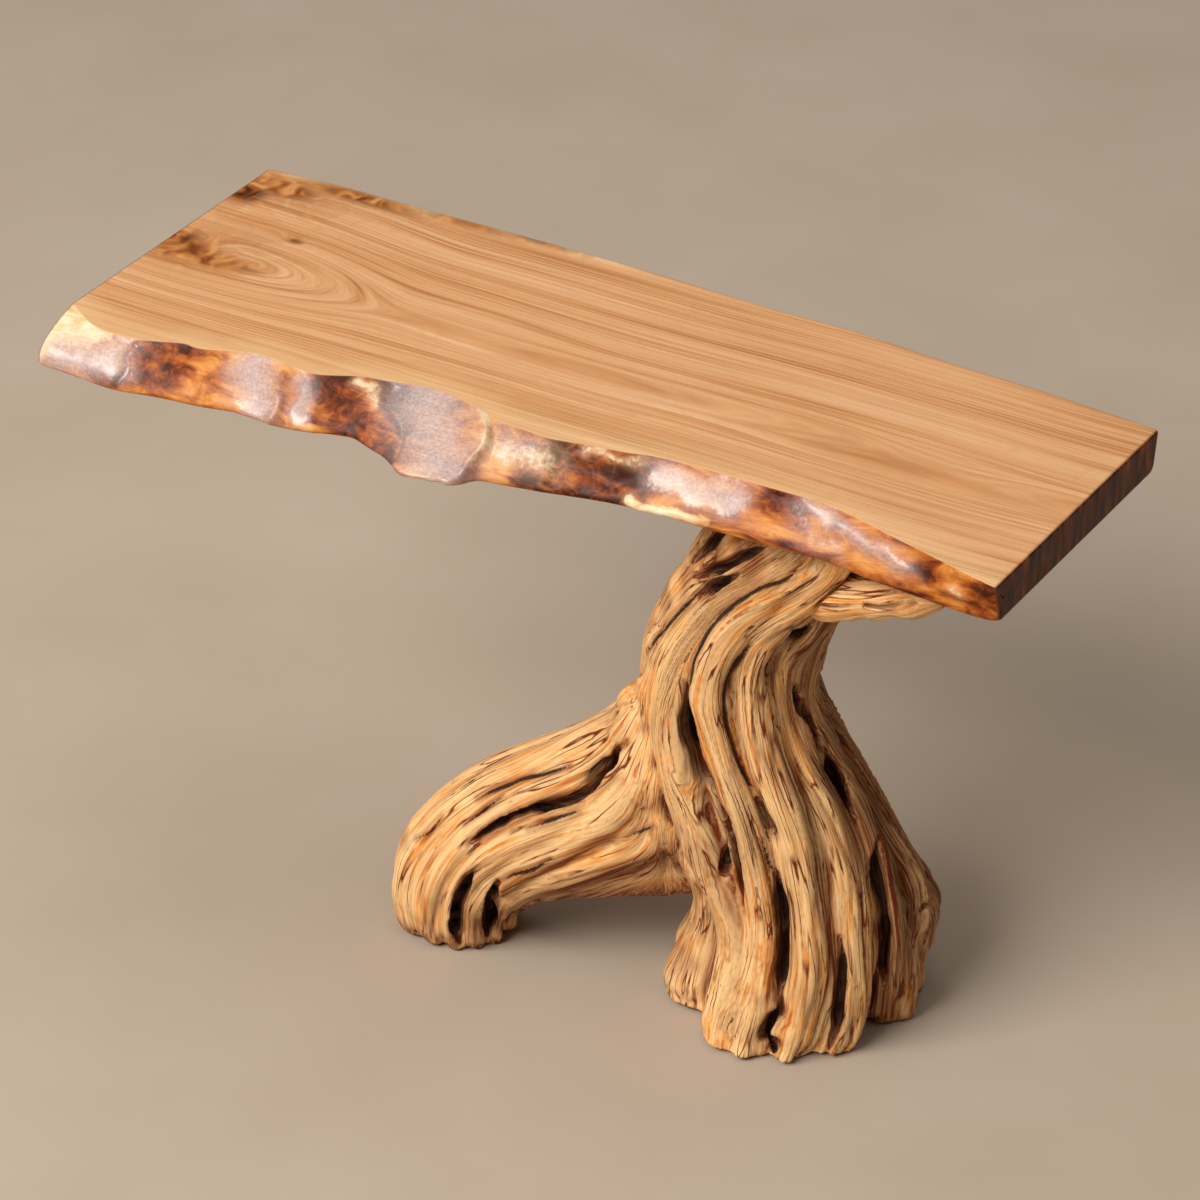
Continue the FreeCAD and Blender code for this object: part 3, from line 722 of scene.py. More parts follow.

# %% [markdown]
# ## Weathered root wood
# The root is a hardwood, washed and dried until the bark was gone, then brushed and oiled.  Oil
# leaves the ridges honey coloured and satin, and soaks into the cracks, which turn nearly black.
# Fine streaks follow the grain.  The shader reads the grain and the hollows stored per point, and
# paints shade into the hollows, the furrows, beside the cracks, on the right flank and under the arch.

# %% Root finish


def weathered_wood(name, pale, light, middle, dark, black):
    """Oiled, weathered wood with streaks along its grain, dark cracks, and painted shade in its hollows and
    furrows.
    """
    material, tree, shader, spot = new_material(name)
    lie = attribute(tree, "grain", "Vector")
    hollow_shade, stain_and_shade, furrow_shade, seam = (attribute(tree, mark) for mark in ("hollow_shade", "stain_and_shade", "furrow_shade", "seam"))
    # The grain is stored in mm.  Each pattern has a length along it, a width across it and a detail.
    patterns = ((200, 14, 2.0), (140, 3.6, 3.0), (60, 2.2, 2.0), (170, 11, 1.0), (14, 1.9, 1.0))
    bands, streaks, fibres, fissures, ticks = (
        noise(tree, lie, (1 / long, 1 / wide, 1 / wide), detail, 0.55) for long, wide, detail in patterns)
    patches = noise(tree, spot, 1000 / 60, 3.0, 0.55)

    tone = added(tree, 0.0, (streaks, 0.5), (bands, 0.3), (patches, 0.2))
    wood = ramped(tree, tone, (0.28, dark), (0.35, middle), (0.42, light), (0.52, pale))
    wood = dimmed(tree, wood, ranged(tree, fibres, 0.34, 0.58, 0.82, 1.04))

    # Painted shade in hollows and furrows, and the stored stains and shade, turn dark brown along the
    # streaks.  So do short ticks.
    shade = largest(tree, ranged(tree, hollow_shade, 0.5, 2.6, 0.0, 1.0), stain_and_shade, furrow_shade)
    uneven = ranged(tree, streaks, 0.35, 0.65, 1.25, 0.55)
    shade = maths(tree, "MULTIPLY", shade, uneven, clamp=True)
    tick = ranged(tree, ticks, 0.69, 0.77, 0.0, 0.6)
    # Fissures are the lines where slow noise crosses its middle; they come and go with the patches.
    line = maths(tree, "ABSOLUTE", maths(tree, "SUBTRACT", fissures, 0.5))
    often = ranged(tree, patches, 0.40, 0.56, 0.15, 1.0)
    line = maths(tree, "MULTIPLY", ranged(tree, line, 0.008, 0.04, 1.0, 0.0), often)
    wood = blended(tree, largest(tree, shade, tick, line), wood, srgb(dark))
    # Cracks, with ragged borders, are nearly black, and so is the painted shade in the deepest hollows.
    crack = ranged(tree, added(tree, seam, (streaks, 0.6)), 0.60, 1.15, 0.0, 0.95)
    gap = largest(tree, ranged(tree, hollow_shade, 2.4, 5.5, 0.0, 0.9), crack)
    wood = blended(tree, gap, wood, srgb(black))

    relief = added(tree, streaks, (fibres, 0.4), (gap, -0.9), (line, -0.6))
    fill(tree, shader, {
        "Base Color": wood,
        "Roughness": ranged(tree, streaks, 0.3, 0.7, 0.62, 0.45),
        "Normal": bumped(tree, relief, 0.6, 0.0024),
        "IOR": 1.47,
        "Specular IOR Level": 0.25,
    })
    return material


root_wood = weathered_wood("oiled_root_wood", "#FDCF92", "#F9A855", "#D87024", "#702C09", "#240F06")
root_piece = mesh_object("root_pedestal_wood", root_points, root_faces, root_wood)
# Darkened places, partly the wood's own stains and partly painted shade under the slab and around the arch:
# the middle, the reach and the strength
stain_and_shade_spots = [
    ((-205, -112, 104), 24, 0.8), ((40, -70, 88), 60, 0.8), ((130, -80, 105), 60, 0.8),
    ((265, -115, 680), 48, 0.9), ((215, -92, 645), 44, 0.85), ((170, -76, 595), 34, 0.7),
    ((135, -72, 545), 30, 0.65), ((112, -70, 490), 28, 0.6), ((96, -66, 425), 30, 0.6),
    ((60, -60, 350), 34, 0.45), ((320, -75, 560), 44, 0.6), ((178, -60, 70), 46, 0.6),
    ((205, -108, 240), 34, 0.4), ((-72, -105, 50), 50, 0.9), ((190, -100, 150), 55, 0.7),
    ((-40, -120, 105), 34, 0.6)]
# Painted shade beside the cracks comes first.
stain_and_shade = 0.75 * crease_shade
frayed = 40 * (lumps(root_points, 22.0, 9) - 0.5)
for centre, reach, strength in stain_and_shade_spots:
    gap = np.linalg.norm(root_points - centre, axis=1) + frayed
    stain_and_shade = np.maximum(stain_and_shade, strength * np.clip(1.3 - gap / reach, 0, 1))
# The right flank of the trunk is dark from here round to the back, in degrees around the trunk: darker wood
# with painted shade over it, on the side away from the light.
flank_heights = (0, 60, 138, 231, 339, 454, 555, 640, 720)
flank_starts = (-26, -28, -32, -22, -18, -30, -46, -42, -36)
flank_from_x = 150
middle_x, middle_y, half_x, half_y = trunk_at(root_points[:, 2])
facing = np.arctan2((root_points[:, 1] - middle_y) / half_y, (root_points[:, 0] - middle_x) / half_x)
facing = np.degrees(facing)
flank = (facing - np.interp(root_points[:, 2], flank_heights, flank_starts)) / 12
flank = np.clip(flank + 1.5 * (grain_lumps(90, 14, 10) - 0.5), 0, 1)
flank = flank * np.clip((165 - facing) / 60, 0.35, 1) * (root_points[:, 0] > flank_from_x)
stain_and_shade = np.maximum(stain_and_shade, flank * np.clip(0.25 + 0.9 * grain_lumps(140, 15, 11), 0, 1))
# The underside of the arch gets painted shade on its downward faces.
arch_top, arch_right = 300, 240
in_arch = (root_points[:, 2] < arch_top) * (root_points[:, 0] < arch_right)
stain_and_shade = np.maximum(stain_and_shade, np.clip(0.12 - 1.5 * normals[:, 2], 0, 0.9) * in_arch)
store(root_piece, "grain", grain, "FLOAT_VECTOR")
store(root_piece, "hollow_shade", hollow_shade)
store(root_piece, "seam", seam)
store(root_piece, "stain_and_shade", stain_and_shade)
store(root_piece, "furrow_shade", furrow_shade)
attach(root_piece, "root")
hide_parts("root_pedestal")

# %% [markdown]
# ## The brace limb
# A short, debarked limb leans from the trunk to the slab.  Its cut end laps against the trunk.
# It is carved in a finer field of its own, with a knobbly skin and a crack along its side.

# %% Brace limb
limb_step, limb_run, limb_blend = 2.0, 8.0, 2.0            # mm
limb_crack_run, limb_crack_blend = 6.0, 1.5
limb = WoodField((320, -160, 575), (545, -25, 726), limb_step)
limb_rows = [(346, -66, 613, 25), (371, -75, 627, 26), (410, -89, 645, 23), (446, -101, 663, 22),
             (482, -112, 684, 24), (504, -118, 699, 22)]
limb_path = smooth_path(limb_rows, limb_run)
limb.rod(limb_path[:, :3], limb_path[:, 3], limb_blend, limb.join)
limb_cracks = [[(420, -114, 652, 3), (450, -125, 664, 3.5), (478, -136, 684, 3)],
               [(470, -132, 668, 3), (492, -140, 690, 5)]]
for rows in limb_cracks:
    path = smooth_path(rows, limb_crack_run)
    limb.rod(path[:, :3], path[:, 3], limb_crack_blend, limb.carve)
# It stops at the slab, and at the root's skin.
lap = 1.0                  # how far it reaches into that skin
limb_axes = limb.axes()
limb.values = np.maximum(limb.values, limb_axes[2] - np.float32(root_top))
in_limb = np.stack(np.broadcast_arrays(*limb_axes), axis=-1).reshape(-1, 3)
past_root = -lap - root.sample(in_limb).reshape(limb.values.shape)
limb.values = np.maximum(limb.values, past_root).astype(np.float32)

limb_points, limb_faces = limb.surface()
limb_normals = unit(limb.slope(limb_points))
limb_axis = limb_path[-1, :3] - limb_path[0, :3]
limb_axis /= np.linalg.norm(limb_axis)
limb_radius, limb_layer = 22, 60.0    # mm: to unroll the skin, and where it lies in the noise
limb_along = (limb_points - limb_path[0, :3]) @ limb_axis
limb_round = np.arctan2(limb_normals[:, 2], limb_normals @ np.cross(limb_axis, (0, 0, 1))) * limb_radius
limb_grain = np.column_stack([limb_along, limb_round, np.full(len(limb_along), limb_layer)])
limb_lift = 5.0 * (lumps(limb_points, 24.0, 11) - 0.5) + 1.2 * (lumps(limb_grain / [12, 1, 1], 5.0, 12) - 0.5)
limb_lift[limb_points[:, 2] > root_top - 2] = 0
# Painted shade in the limb's hollows.
limb_hollow_shade = -limb.sample(limb_points, limb.blurred(4))
limb_points = limb_points + limb_normals * limb_lift[:, None]
limb_points[:, 2] = np.minimum(limb_points[:, 2], root_top)
limb_wood = weathered_wood("oiled_limb_wood", "#FBCB90", "#F2A75E", "#D0762E", "#70300D", "#240F06")
limb_piece = mesh_object("brace_limb_wood", limb_points, limb_faces, limb_wood)
store(limb_piece, "grain", limb_grain, "FLOAT_VECTOR")
store(limb_piece, "hollow_shade", limb_hollow_shade)
for mark in ("stain_and_shade", "furrow_shade", "seam"):
    store(limb_piece, mark, np.zeros(len(limb_points)))
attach(limb_piece, "root")
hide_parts("brace_limb")

# %% [markdown]
# ## The slab
# The slab is one plank with both ends sawn square.  Its front keeps the wavy outside of the tree,
# which falls away from a crisp edge as one long sloping face.  It is drawn as rings around the
# plank, one every 3 mm along it, so that the live edge can bulge and crease while the top stays
# flat.  A few more rings inside each end close it.

# %% Outlines of the slab
slab_top, slab_bottom = 770.0, 720.0
half_length = 610.0
top_front = np.array([
    (-610, -171), (-561, -201), (-527, -208), (-490, -204), (-442, -185), (-418, -185), (-366, -164),
    (-334, -162), (-289, -166), (-266, -165), (-224, -144), (-190, -136), (-145, -126), (-111, -126),
    (-84, -133), (-56, -139), (-38, -149), (-6, -151), (35, -153), (69, -146), (125, -136), (163, -126),
    (238, -121), (292, -120), (363, -119), (408, -127), (467, -143), (532, -160), (581, -173),
    (610, -180)], float)
low_front = np.array([
    (-610, -243), (-515, -248), (-490, -247), (-444, -237), (-395, -230), (-354, -220), (-316, -221),
    (-287, -221), (-258, -215), (-224, -203), (-200, -199), (-175, -208), (-147, -217), (-118, -234),
    (-97, -237), (-69, -231), (-51, -232), (-40, -224), (-28, -207), (3, -200), (56, -188), (108, -175),
    (146, -168), (186, -164), (250, -163), (305, -161), (385, -157), (447, -165), (499, -169), (547, -172),
    (580, -174), (600, -172), (610, -166)], float)
back_line = np.array([
    (-610, 236), (-518, 243), (-417, 244), (-311, 246), (-249, 247), (-80, 247), (95, 242), (213, 243),
    (314, 235), (460, 229), (610, 217)], float)


def outline_at(rows, xs):
    """An outline's distance at places along the slab, through a smooth curve."""
    curve = smooth_path(np.column_stack([rows, np.zeros((len(rows), 2))]), 4.0)
    order = np.argsort(curve[:, 0])
    return np.interp(xs, curve[order, 0], curve[order, 1])


# Each end has rings drawn in on its sawn face, and then two that ease its rim.
end_insets, rim_insets = [22.0, 17.0, 12.0, 7.0, 3.0], [1.1, 0.3]
end_x = [-half_length] * len(end_insets) + [-609.3, -607.5]
ring_x = np.concatenate([end_x, np.arange(-606, 607, 3.0), -np.array(end_x[::-1])])
ring_inset = np.zeros(len(ring_x))
ring_inset[:len(end_x)] = end_insets + rim_insets
ring_inset[-len(end_x):] = ring_inset[:len(end_x)][::-1]
front_top, front_low = outline_at(top_front, ring_x), outline_at(low_front, ring_x)
back_top = outline_at(back_line, ring_x)
# The face is nearly flat, and fuller at the pale left corner.
fullness = np.interp(ring_x, [-610, -570, -500, -460, 560, 610], [2.4, 2.0, 1.5, 1.3, 1.3, 1.8])

edge_steps, turn_steps, under_steps, rise_steps, back_steps, top_steps = 34, 5, 14, 6, 8, 78
round_low, round_back, back_lean = 5.0, 10, 6      # mm
back_arris, front_arris, arris_drop = (1.0, 3.0), 0.8, 0.8
back_in = round_back + back_lean
down = np.concatenate([[0, 0.012], np.linspace(0.03, 1, edge_steps - 2)])
turn = np.radians(np.linspace(15, 90, turn_steps))
rise = np.radians(np.linspace(0, 90, rise_steps))[1:]
edge_z = slab_top - (slab_top - slab_bottom - round_low) * down
turn_z = slab_bottom + round_low * (1 - np.sin(turn))
rise_z = slab_bottom + round_back * (1 - np.cos(rise))
back_z = np.linspace(slab_bottom + round_back, slab_top - back_arris[-1], back_steps)[1:]
arris_z = [slab_top - arris_drop, slab_top]

rings = []
for x, y_top, y_low, y_back, power in zip(ring_x, front_top, front_low, back_top, fullness):
    edge_y = y_top + (y_low - y_top) * (1 - (1 - down) ** power)
    turn_y = y_low + round_low * (1 - np.cos(turn))
    under_y = np.linspace(turn_y[-1], y_back - back_in, under_steps)[1:]
    rise_y = y_back - back_in + round_back * np.sin(rise)
    back_y = np.linspace(y_back - back_lean, y_back, back_steps)[1:]
    arris_y = [y_back - inset for inset in back_arris]
    top_y = np.append(np.linspace(arris_y[-1], y_top, top_steps)[1:-1], y_top + front_arris)
    ys = np.concatenate([edge_y, turn_y, under_y, rise_y, back_y, arris_y, top_y])
    zs = np.concatenate([edge_z, turn_z, np.full(len(under_y), slab_bottom), rise_z, back_z, arris_z,
                         np.full(len(top_y), slab_top)])
    rings.append(np.column_stack([np.full(len(ys), x), ys, zs]))
rings = np.array(rings)
ring_count, ring_size = rings.shape[:2]
front_part = edge_steps + turn_steps
print("slab rings", ring_count, "of", ring_size, "points")

# %% [markdown]
# ## The live edge
# The creases and ridges were traced on the photograph as strokes: places along the slab and how
# far down the edge they lie, with a width and a height.  The same kind of stroke marks pale
# sapwood, dark burl and the smooth glossy parts, whose sheen is painted into their colour as well.
# A little noise keeps them from looking drawn with a ruler, and the finish breaks their borders up further.

# %% Strokes on the live edge
edge_run = 66.0            # length of the edge from top to bottom, measured down the slope
stray = 12                 # how far noise moves a stroke, in mm
edge_x = rings[:, :front_part, 0]
edge_t = (slab_top - rings[:, :front_part, 2]) / (slab_top - slab_bottom)
edge_spot = np.column_stack([edge_x.ravel(), edge_t.ravel() * edge_run, np.zeros(edge_x.size)])
wander = [lumps(edge_spot, 20.0, seed) - 0.5 for seed in (21, 22)]
edge_spot = edge_spot + stray * np.column_stack([*wander, np.zeros(edge_x.size)])


def stroke(rows, width, sharp=False):
    """From 1 on a stroke to 0 beside it, for every point of the live edge."""
    rows = np.array(rows, float) * [1, edge_run]
    best = np.full(len(edge_spot), 1e9)
    for start, end in zip(rows[:-1], rows[1:]):
        run = end - start
        share = np.clip((edge_spot[:, :2] - start) @ run / (run @ run), 0, 1)
        best = np.minimum(best, np.linalg.norm(edge_spot[:, :2] - start - share[:, None] * run, axis=1))
    fall = best / width if sharp else (best / width) ** 2
    return np.exp(-fall).reshape(edge_x.shape)


def paint(strokes):
    """The strongest of several strokes, each with a width and a strength."""
    total = np.zeros(edge_x.shape)
    for rows, width, strength in strokes:
        total = np.maximum(total, strength * stroke(rows, width))
    return total


# Each stroke: its places along the slab and down the edge, its width in mm, and its height or strength
relief_strokes = [
    ([(-494, 0.02), (-488, 0.36), (-499, 0.95)], 4, -5.0),
    ([(-310, 0.0), (-302, 0.4), (-296, 0.8)], 6, 5.0),
    ([(-292, 0.05), (-284, 0.5), (-280, 0.9)], 6, -3.5),
    ([(-256, 0.0), (-250, 0.5), (-246, 0.9)], 5, 2.5),
    ([(-199, 0.02), (-175, 0.15), (-140, 0.5), (-125, 0.85)], 8, -6.0),
    ([(-122, 0.9), (-85, 0.95), (-45, 0.88)], 5, 4.0),
    ([(-71, 0.02), (-45, 0.12), (-36, 0.4), (-34, 0.75)], 6, 6.0),
    ([(-50, 0.02), (-25, 0.2), (-20, 0.6)], 6, -4.0),
    ([(55, 0.1), (58, 0.4), (52, 0.8)], 6, -3.0),
    ([(75, 0.35), (100, 0.5), (130, 0.5)], 14, -5.0),
    ([(70, 0.1), (110, 0.12), (155, 0.16)], 7, 3.0),
    ([(147, 0.84), (190, 0.9), (245, 0.88)], 6, 2.5),
    ([(309, 0.07), (332, 0.2), (356, 0.43), (375, 0.8)], 13, -3.5),
    ([(348, 0.11), (418, 0.29), (493, 0.44)], 15, 3.0),
    ([(380, 0.5), (440, 0.62), (500, 0.66)], 12, -1.5),
    ([(540, 0.5), (556, 0.57), (575, 0.6)], 9, 3.0),
    ([(-465, 0.30), (-464, 0.34)], 3, -7.0),
    ([(-388, 0.70), (-387, 0.74)], 3, -7.0),
    ([(-100, 0.30), (-99, 0.32)], 3, -3.5),
]
pale_strokes = [
    ([(-608, 0.5), (-596, 0.2), (-582, 0.1), (-560, 0.03)], 24, 1.0),
    ([(-560, 0.0), (-526, 0.02)], 9, 0.8),
    ([(147, 0.84), (186, 0.89), (243, 0.88)], 8, 1.0),
    ([(-22, 0.3), (15, 0.35), (38, 0.4)], 24, 0.55),
    ([(79, 0.07), (151, 0.13)], 7, 0.5),
    ([(-228, 0.01), (-204, 0.14), (-185, 0.28)], 6, 0.6),
    ([(-71, 0.02), (-40, 0.15), (-34, 0.6)], 4, 0.7),
    ([(550, 0.55), (562, 0.58)], 8, 0.5),
]
dark_strokes = [
    ([(-480, 0.1), (-450, 0.25), (-440, 0.5)], 22, 0.85),
    ([(-470, 0.6), (-440, 0.8)], 20, 0.8),
    ([(-250, 0.05), (-221, 0.41), (-195, 0.85)], 28, 1.0),
    ([(-199, 0.02), (-175, 0.12), (-133, 0.5)], 16, 1.0),
    ([(-165, 0.8), (-130, 0.95)], 15, 0.9),
    ([(54, 0.25), (100, 0.5), (143, 0.4)], 32, 1.0),
    ([(30, 0.8), (75, 0.85), (130, 0.95)], 18, 0.9),
    ([(312, 0.1), (332, 0.25), (356, 0.5)], 14, 0.75),
    ([(300, 0.75), (400, 0.85), (540, 0.92)], 10, 0.5),
    ([(586, 0.8), (605, 0.3)], 22, 0.7),
    ([(510, 0.3), (530, 0.35)], 10, 0.6),
    ([(-494, 0.02), (-488, 0.36), (-499, 0.95)], 3.5, 0.9),
]
# Glossy parts get a coat of lacquer, and a painted sheen in their colour.
gloss_and_sheen_strokes = [
    ([(-575, 0.65), (-535, 0.5), (-508, 0.35)], 28, 1.0),
    ([(-352, 0.15), (-335, 0.4), (-315, 0.7)], 25, 1.0),
    ([(-282, 0.15), (-270, 0.4), (-265, 0.7)], 15, 0.9),
    ([(-145, 0.15), (-108, 0.35), (-82, 0.55), (-60, 0.75)], 36, 1.0),
    ([(-15, 0.2), (20, 0.3)], 20, 0.6),
    ([(175, 0.25), (220, 0.36), (264, 0.32)], 19, 0.9),
    ([(345, 0.2), (365, 0.55), (400, 0.6)], 16, 0.4),
    ([(350, 0.13), (418, 0.3), (495, 0.45)], 14, 0.7),
]
sharp_width = 5            # narrower strokes are sharp creases
height = sum(size * stroke(rows, width, width < sharp_width) for rows, width, size in relief_strokes)
pale, dark, gloss_and_sheen = paint(pale_strokes), paint(dark_strokes), paint(gloss_and_sheen_strokes)
waves = 3.0 * (lumps(edge_spot, 46.0, 23) - 0.5) + 0.6 * (lumps(edge_spot, 14.0, 24) - 0.5)
burr = 1.2 * (lumps(edge_spot, 8.0, 25) - 0.5)
height = height + waves.reshape(edge_x.shape) + burr.reshape(edge_x.shape) * dark
# The relief fades out at the top, at the bottom and over the last 12 mm before each end.
fade = np.clip(edge_t / 0.08, 0, 1) * np.clip((1.0 - edge_t) / 0.06, 0, 1)
fade *= np.clip((half_length - np.abs(edge_x)) / 12, 0, 1)

# The edge moves along its own outward direction in each ring.
edge_run_y = np.gradient(rings[:, :front_part, 1], axis=1)
edge_run_z = np.gradient(rings[:, :front_part, 2], axis=1)
size = np.maximum(np.hypot(edge_run_y, edge_run_z), 1e-6)
rings[:, :front_part, 1] += height * fade * edge_run_z / size
rings[:, :front_part, 2] += -height * fade * edge_run_y / size
rings[:, :, 2] = np.clip(rings[:, :, 2], slab_bottom, slab_top)
middle_yz = np.array([0.0, (slab_top + slab_bottom) / 2])
half_yz = np.array([230.0, 25.0])      # the rings of the ends are drawn in towards the middle
for i in np.nonzero(ring_inset)[0]:
    rings[i, :, 1:] = middle_yz + (rings[i, :, 1:] - middle_yz) * (1 - ring_inset[i] / half_yz)
print("live edge relief from", height.min().round(1), "to", height.max().round(1), "mm")

# %% [markdown]
# ## The grain of the slab
# A tree grows in rings around its pith, and a plank is a flat cut through them.  Towards the left
# the cut comes near the pith, so the growth lines close there as nested arches, and they part
# around the knots.  Elsewhere they run straight.  The number of the ring that a point lies in is
# worked out per point, and the finish draws its lines by that number.

# %% Rings of growth
slab_points = rings.reshape(-1, 3)
sx, sy, sz = slab_points.T


def hump(x, y, reach_x, reach_y):
    """From 1 at a place on the slab to 0 beyond its reach along and across."""
    return np.exp(-((sx - x) / reach_x) ** 2 - ((sy - y) / reach_y) ** 2)


pith_y, pith_depth = 8, 64                         # mm
closing_x, closing_run = -590, 320                 # where the arches close, and over what length
meander = 26 * (lumps(slab_points * [0.12, 0, 0], 30.0, 30) - 0.5)
from_pith = sy - pith_y - meander
closing = np.clip((sx - closing_x) / closing_run, 0, 1)
near_pith = pith_depth * closing * closing * (3 - 2 * closing)
growth = np.hypot(from_pith, near_pith) + 0.45 * (slab_top - sz)
# Places that push the lines aside: the middle, the reach along and across, and the push
for *place, push in ((-566, 30, 34, 20, 26), (-481, 91, 18, 12, 14), (-590, 186, 30, 16, 22),
                     (-420, 20, 90, 40, -8)):
    growth = growth + push * hump(*place)
slow = slab_points * [0.2, 1, 1]
growth = growth + 12 * (lumps(slow, 80.0, 31) - 0.5) + 4 * (lumps(slow, 30.0, 32) - 0.5)
growth = growth + hump(-560, 20, 60, 40) * 16 * (lumps(slab_points, 14.0, 33) - 0.5)

# Knots: the middle, the reach along and across, and the strength
knots = [(-575, 6, 56, 32, 1.0), (-528, 0, 50, 22, 0.9), (-598, 30, 34, 22, 0.9), (-488, 4, 36, 12, 0.65),
         (-596, 168, 34, 36, 0.95), (-566, 200, 64, 26, 0.9), (-474, 92, 16, 8, 0.75),
         (-470, 228, 100, 20, 0.8), (-320, 238, 100, 12, 0.65), (-220, 242, 80, 9, 0.65),
         (-540, 60, 120, 70, 0.26), (-560, 190, 130, 60, 0.34)]
knot = np.zeros(len(slab_points))
for *place, strength in knots:
    knot = np.maximum(knot, strength * hump(*place))
knot = knot * (sz > slab_top - 8)
# Sapwood: a band along the front, of this width along the slab, and a thin line at the back
into_front = sy - np.repeat(front_top, ring_size)
into_back = np.repeat(back_top, ring_size) - sy
front_sap = np.clip(1.25 - into_front / np.interp(sx, [-610, -300, 0, 300, 610], [40, 34, 48, 40, 46]), 0, 1)
back_sap = 2.0 * np.clip(1.6 - into_back / 9, 0, 1) * np.interp(sx, [-600, -575, -120, -60], [0, 1, 1, 0])
sap = 0.4 * np.maximum(front_sap, back_sap) * (sz > slab_top - 12)
print("rings from", growth.min().round(), "to", growth.max().round(), "mm")

# %% [markdown]
# ## Lacquered slab wood
# The slab is a flat-sawn hardwood, sanded and sprayed with satin lacquer.  Its top is honey tan
# with fine brown lines and a paler band of sapwood along the edges.  The live edge is marbled
# brown burl, with cream sapwood and a pale silvery painted sheen where the lacquer lies thick on smooth wood.
# The sawn ends drink the finish and turn dark brown with red streaks.

# %% Slab finish
slab_wood, tree, shader, spot = new_material("lacquered_slab_wood")
lie = attribute(tree, "grain", "Vector")
masks = {name: attribute(tree, name) for name in ("pale", "dark", "gloss_and_sheen", "edge", "end", "knot", "sap")}

# Grain in mm: colour bands 22 mm wide, growth lines 3 mm, fibres 1 mm, pores 1 mm by 14 mm.
bands = noise(tree, lie, (1 / 900, 1 / 22, 1 / 300), 2.0, 0.55)
lines = noise(tree, lie, (1 / 500, 1 / 3, 1 / 60), 3.0, 0.55)
fibres = noise(tree, lie, (1 / 70, 1.0, 1 / 30), 2.0, 0.55)
pores = noise(tree, lie, (1 / 14, 0.0, 1.0), 1.0, 0.55)
# Marbling of the edge is 60 mm long and 22 mm wide, and its curls are 16 mm.  Swirls in the knots
# are 36 mm, ragged borders 7 mm and pebbles 3.5 mm.
marble = noise(tree, spot, (1000 / 60, 1000 / 22, 1000 / 22), 5.0, 0.58, 0.8)
curl = noise(tree, spot, 1000 / 16, 5.0, 0.6, 1.6)
eddy = noise(tree, spot, 1000 / 36, 1.5, 0.5, 1.3)
ragged = noise(tree, spot, 1000 / 7, 4.0, 0.6)
pebble = noise(tree, spot, 1000 / 3.5, 2.0)

# Masks whose borders follow a noise
crisp = {}
for name, border, low, high in (("pale", ragged, 0.82, 1.06), ("dark", ragged, 0.82, 1.06),
                                ("gloss_and_sheen", ragged, 0.82, 1.06), ("knot", eddy, 0.55, 1.15)):
    crisp[name] = ranged(tree, added(tree, masks[name], (border, 0.9)), low, high, 0.0, 1.0)

# The top: tan with brown lines, then sapwood and the swirls of the knots
tone = added(tree, 0.04, (bands, 0.42), (lines, 0.5))
wood = ramped(tree, tone, (0.36, "#A8713F"), (0.44, "#C28A5A"), (0.52, "#D29F6F"), (0.64, "#DEB086"))
wood = blended(tree, masks["sap"], wood, srgb("#EBC592"))
swirl = ramped(tree, eddy, (0.34, "#47210A"), (0.43, "#7F441A"), (0.53, "#A96731"), (0.66, "#CB9058"))
wood = blended(tree, crisp["knot"], wood, swirl)

# The live edge: burl, which curls more where it is dark, then cream sapwood and a painted silvery sheen where
# it is glossy
curled = maths(tree, "MULTIPLY", crisp["dark"], 0.4)
burled = node(tree, "ShaderNodeMix", {0: curled, 2: marble, 3: curl}, data_type="FLOAT").outputs[0]
vein = added(tree, burled, (masks["dark"], -0.24))
burl = ramped(tree, vein, (0.26, "#441804"), (0.36, "#863C0E"), (0.46, "#B66624"), (0.56, "#D58B40"),
              (0.70, "#E3AA66"))
cream = ramped(tree, marble, (0.36, "#D79B5C"), (0.46, "#EBC892"), (0.60, "#F6E2BC"))
# The sheen of the lacquer is painted into the colour, pale and silvery.
painted_sheen = ramped(tree, pebble, (0.34, "#B29F9A"), (0.50, "#C1AFAB"), (0.66, "#CFBFBB"))
soft_pale = maths(tree, "ADD", crisp["pale"], masks["pale"])
burl = blended(tree, maths(tree, "MULTIPLY", soft_pale, 0.5, clamp=True), burl, cream)
burl = blended(tree, maths(tree, "MULTIPLY", masks["gloss_and_sheen"], 0.8), burl, painted_sheen)
wood = blended(tree, masks["edge"], wood, burl)

# Fibres and pores lie over both.
stripe = ranged(tree, fibres, 0.35, 0.65, 0.91, 1.04)
dash = ranged(tree, pores, 0.64, 0.74, 1.0, 0.8)
wood = dimmed(tree, wood, maths(tree, "MULTIPLY", stripe, dash))
# End grain: streaks across the thickness, 13 mm apart and slanted
slant = node(tree, "ShaderNodeMapping", {
    "Vector": spot, "Scale": (0, 1000 / 13, 1000 / 70), "Rotation": (0.5, 0, 0)}).outputs[0]
streak = noise(tree, slant, 1.0, 4.0, 0.6, 0.6)
end_grain = ramped(tree, streak, (0.34, "#2C0E02"), (0.46, "#4E1E06"), (0.56, "#6E2E0C"), (0.70, "#945226"))
wood = blended(tree, masks["end"], wood, end_grain)

pebbled = maths(tree, "MULTIPLY", pebble, masks["edge"])
relief = added(tree, stripe, (dash, 0.3), (pebbled, 1.2))
fill(tree, shader, {
    "Base Color": wood,
    "Roughness": ranged(tree, crisp["gloss_and_sheen"], 0.0, 1.0, 0.44, 0.32),
    "Normal": bumped(tree, relief, 0.2, 0.001),
    "Coat Weight": crisp["gloss_and_sheen"],
    "Coat Roughness": 0.3,
    "IOR": 1.5,
    "Specular IOR Level": 0.2,
})
print("slab finish has", len(tree.nodes), "nodes")

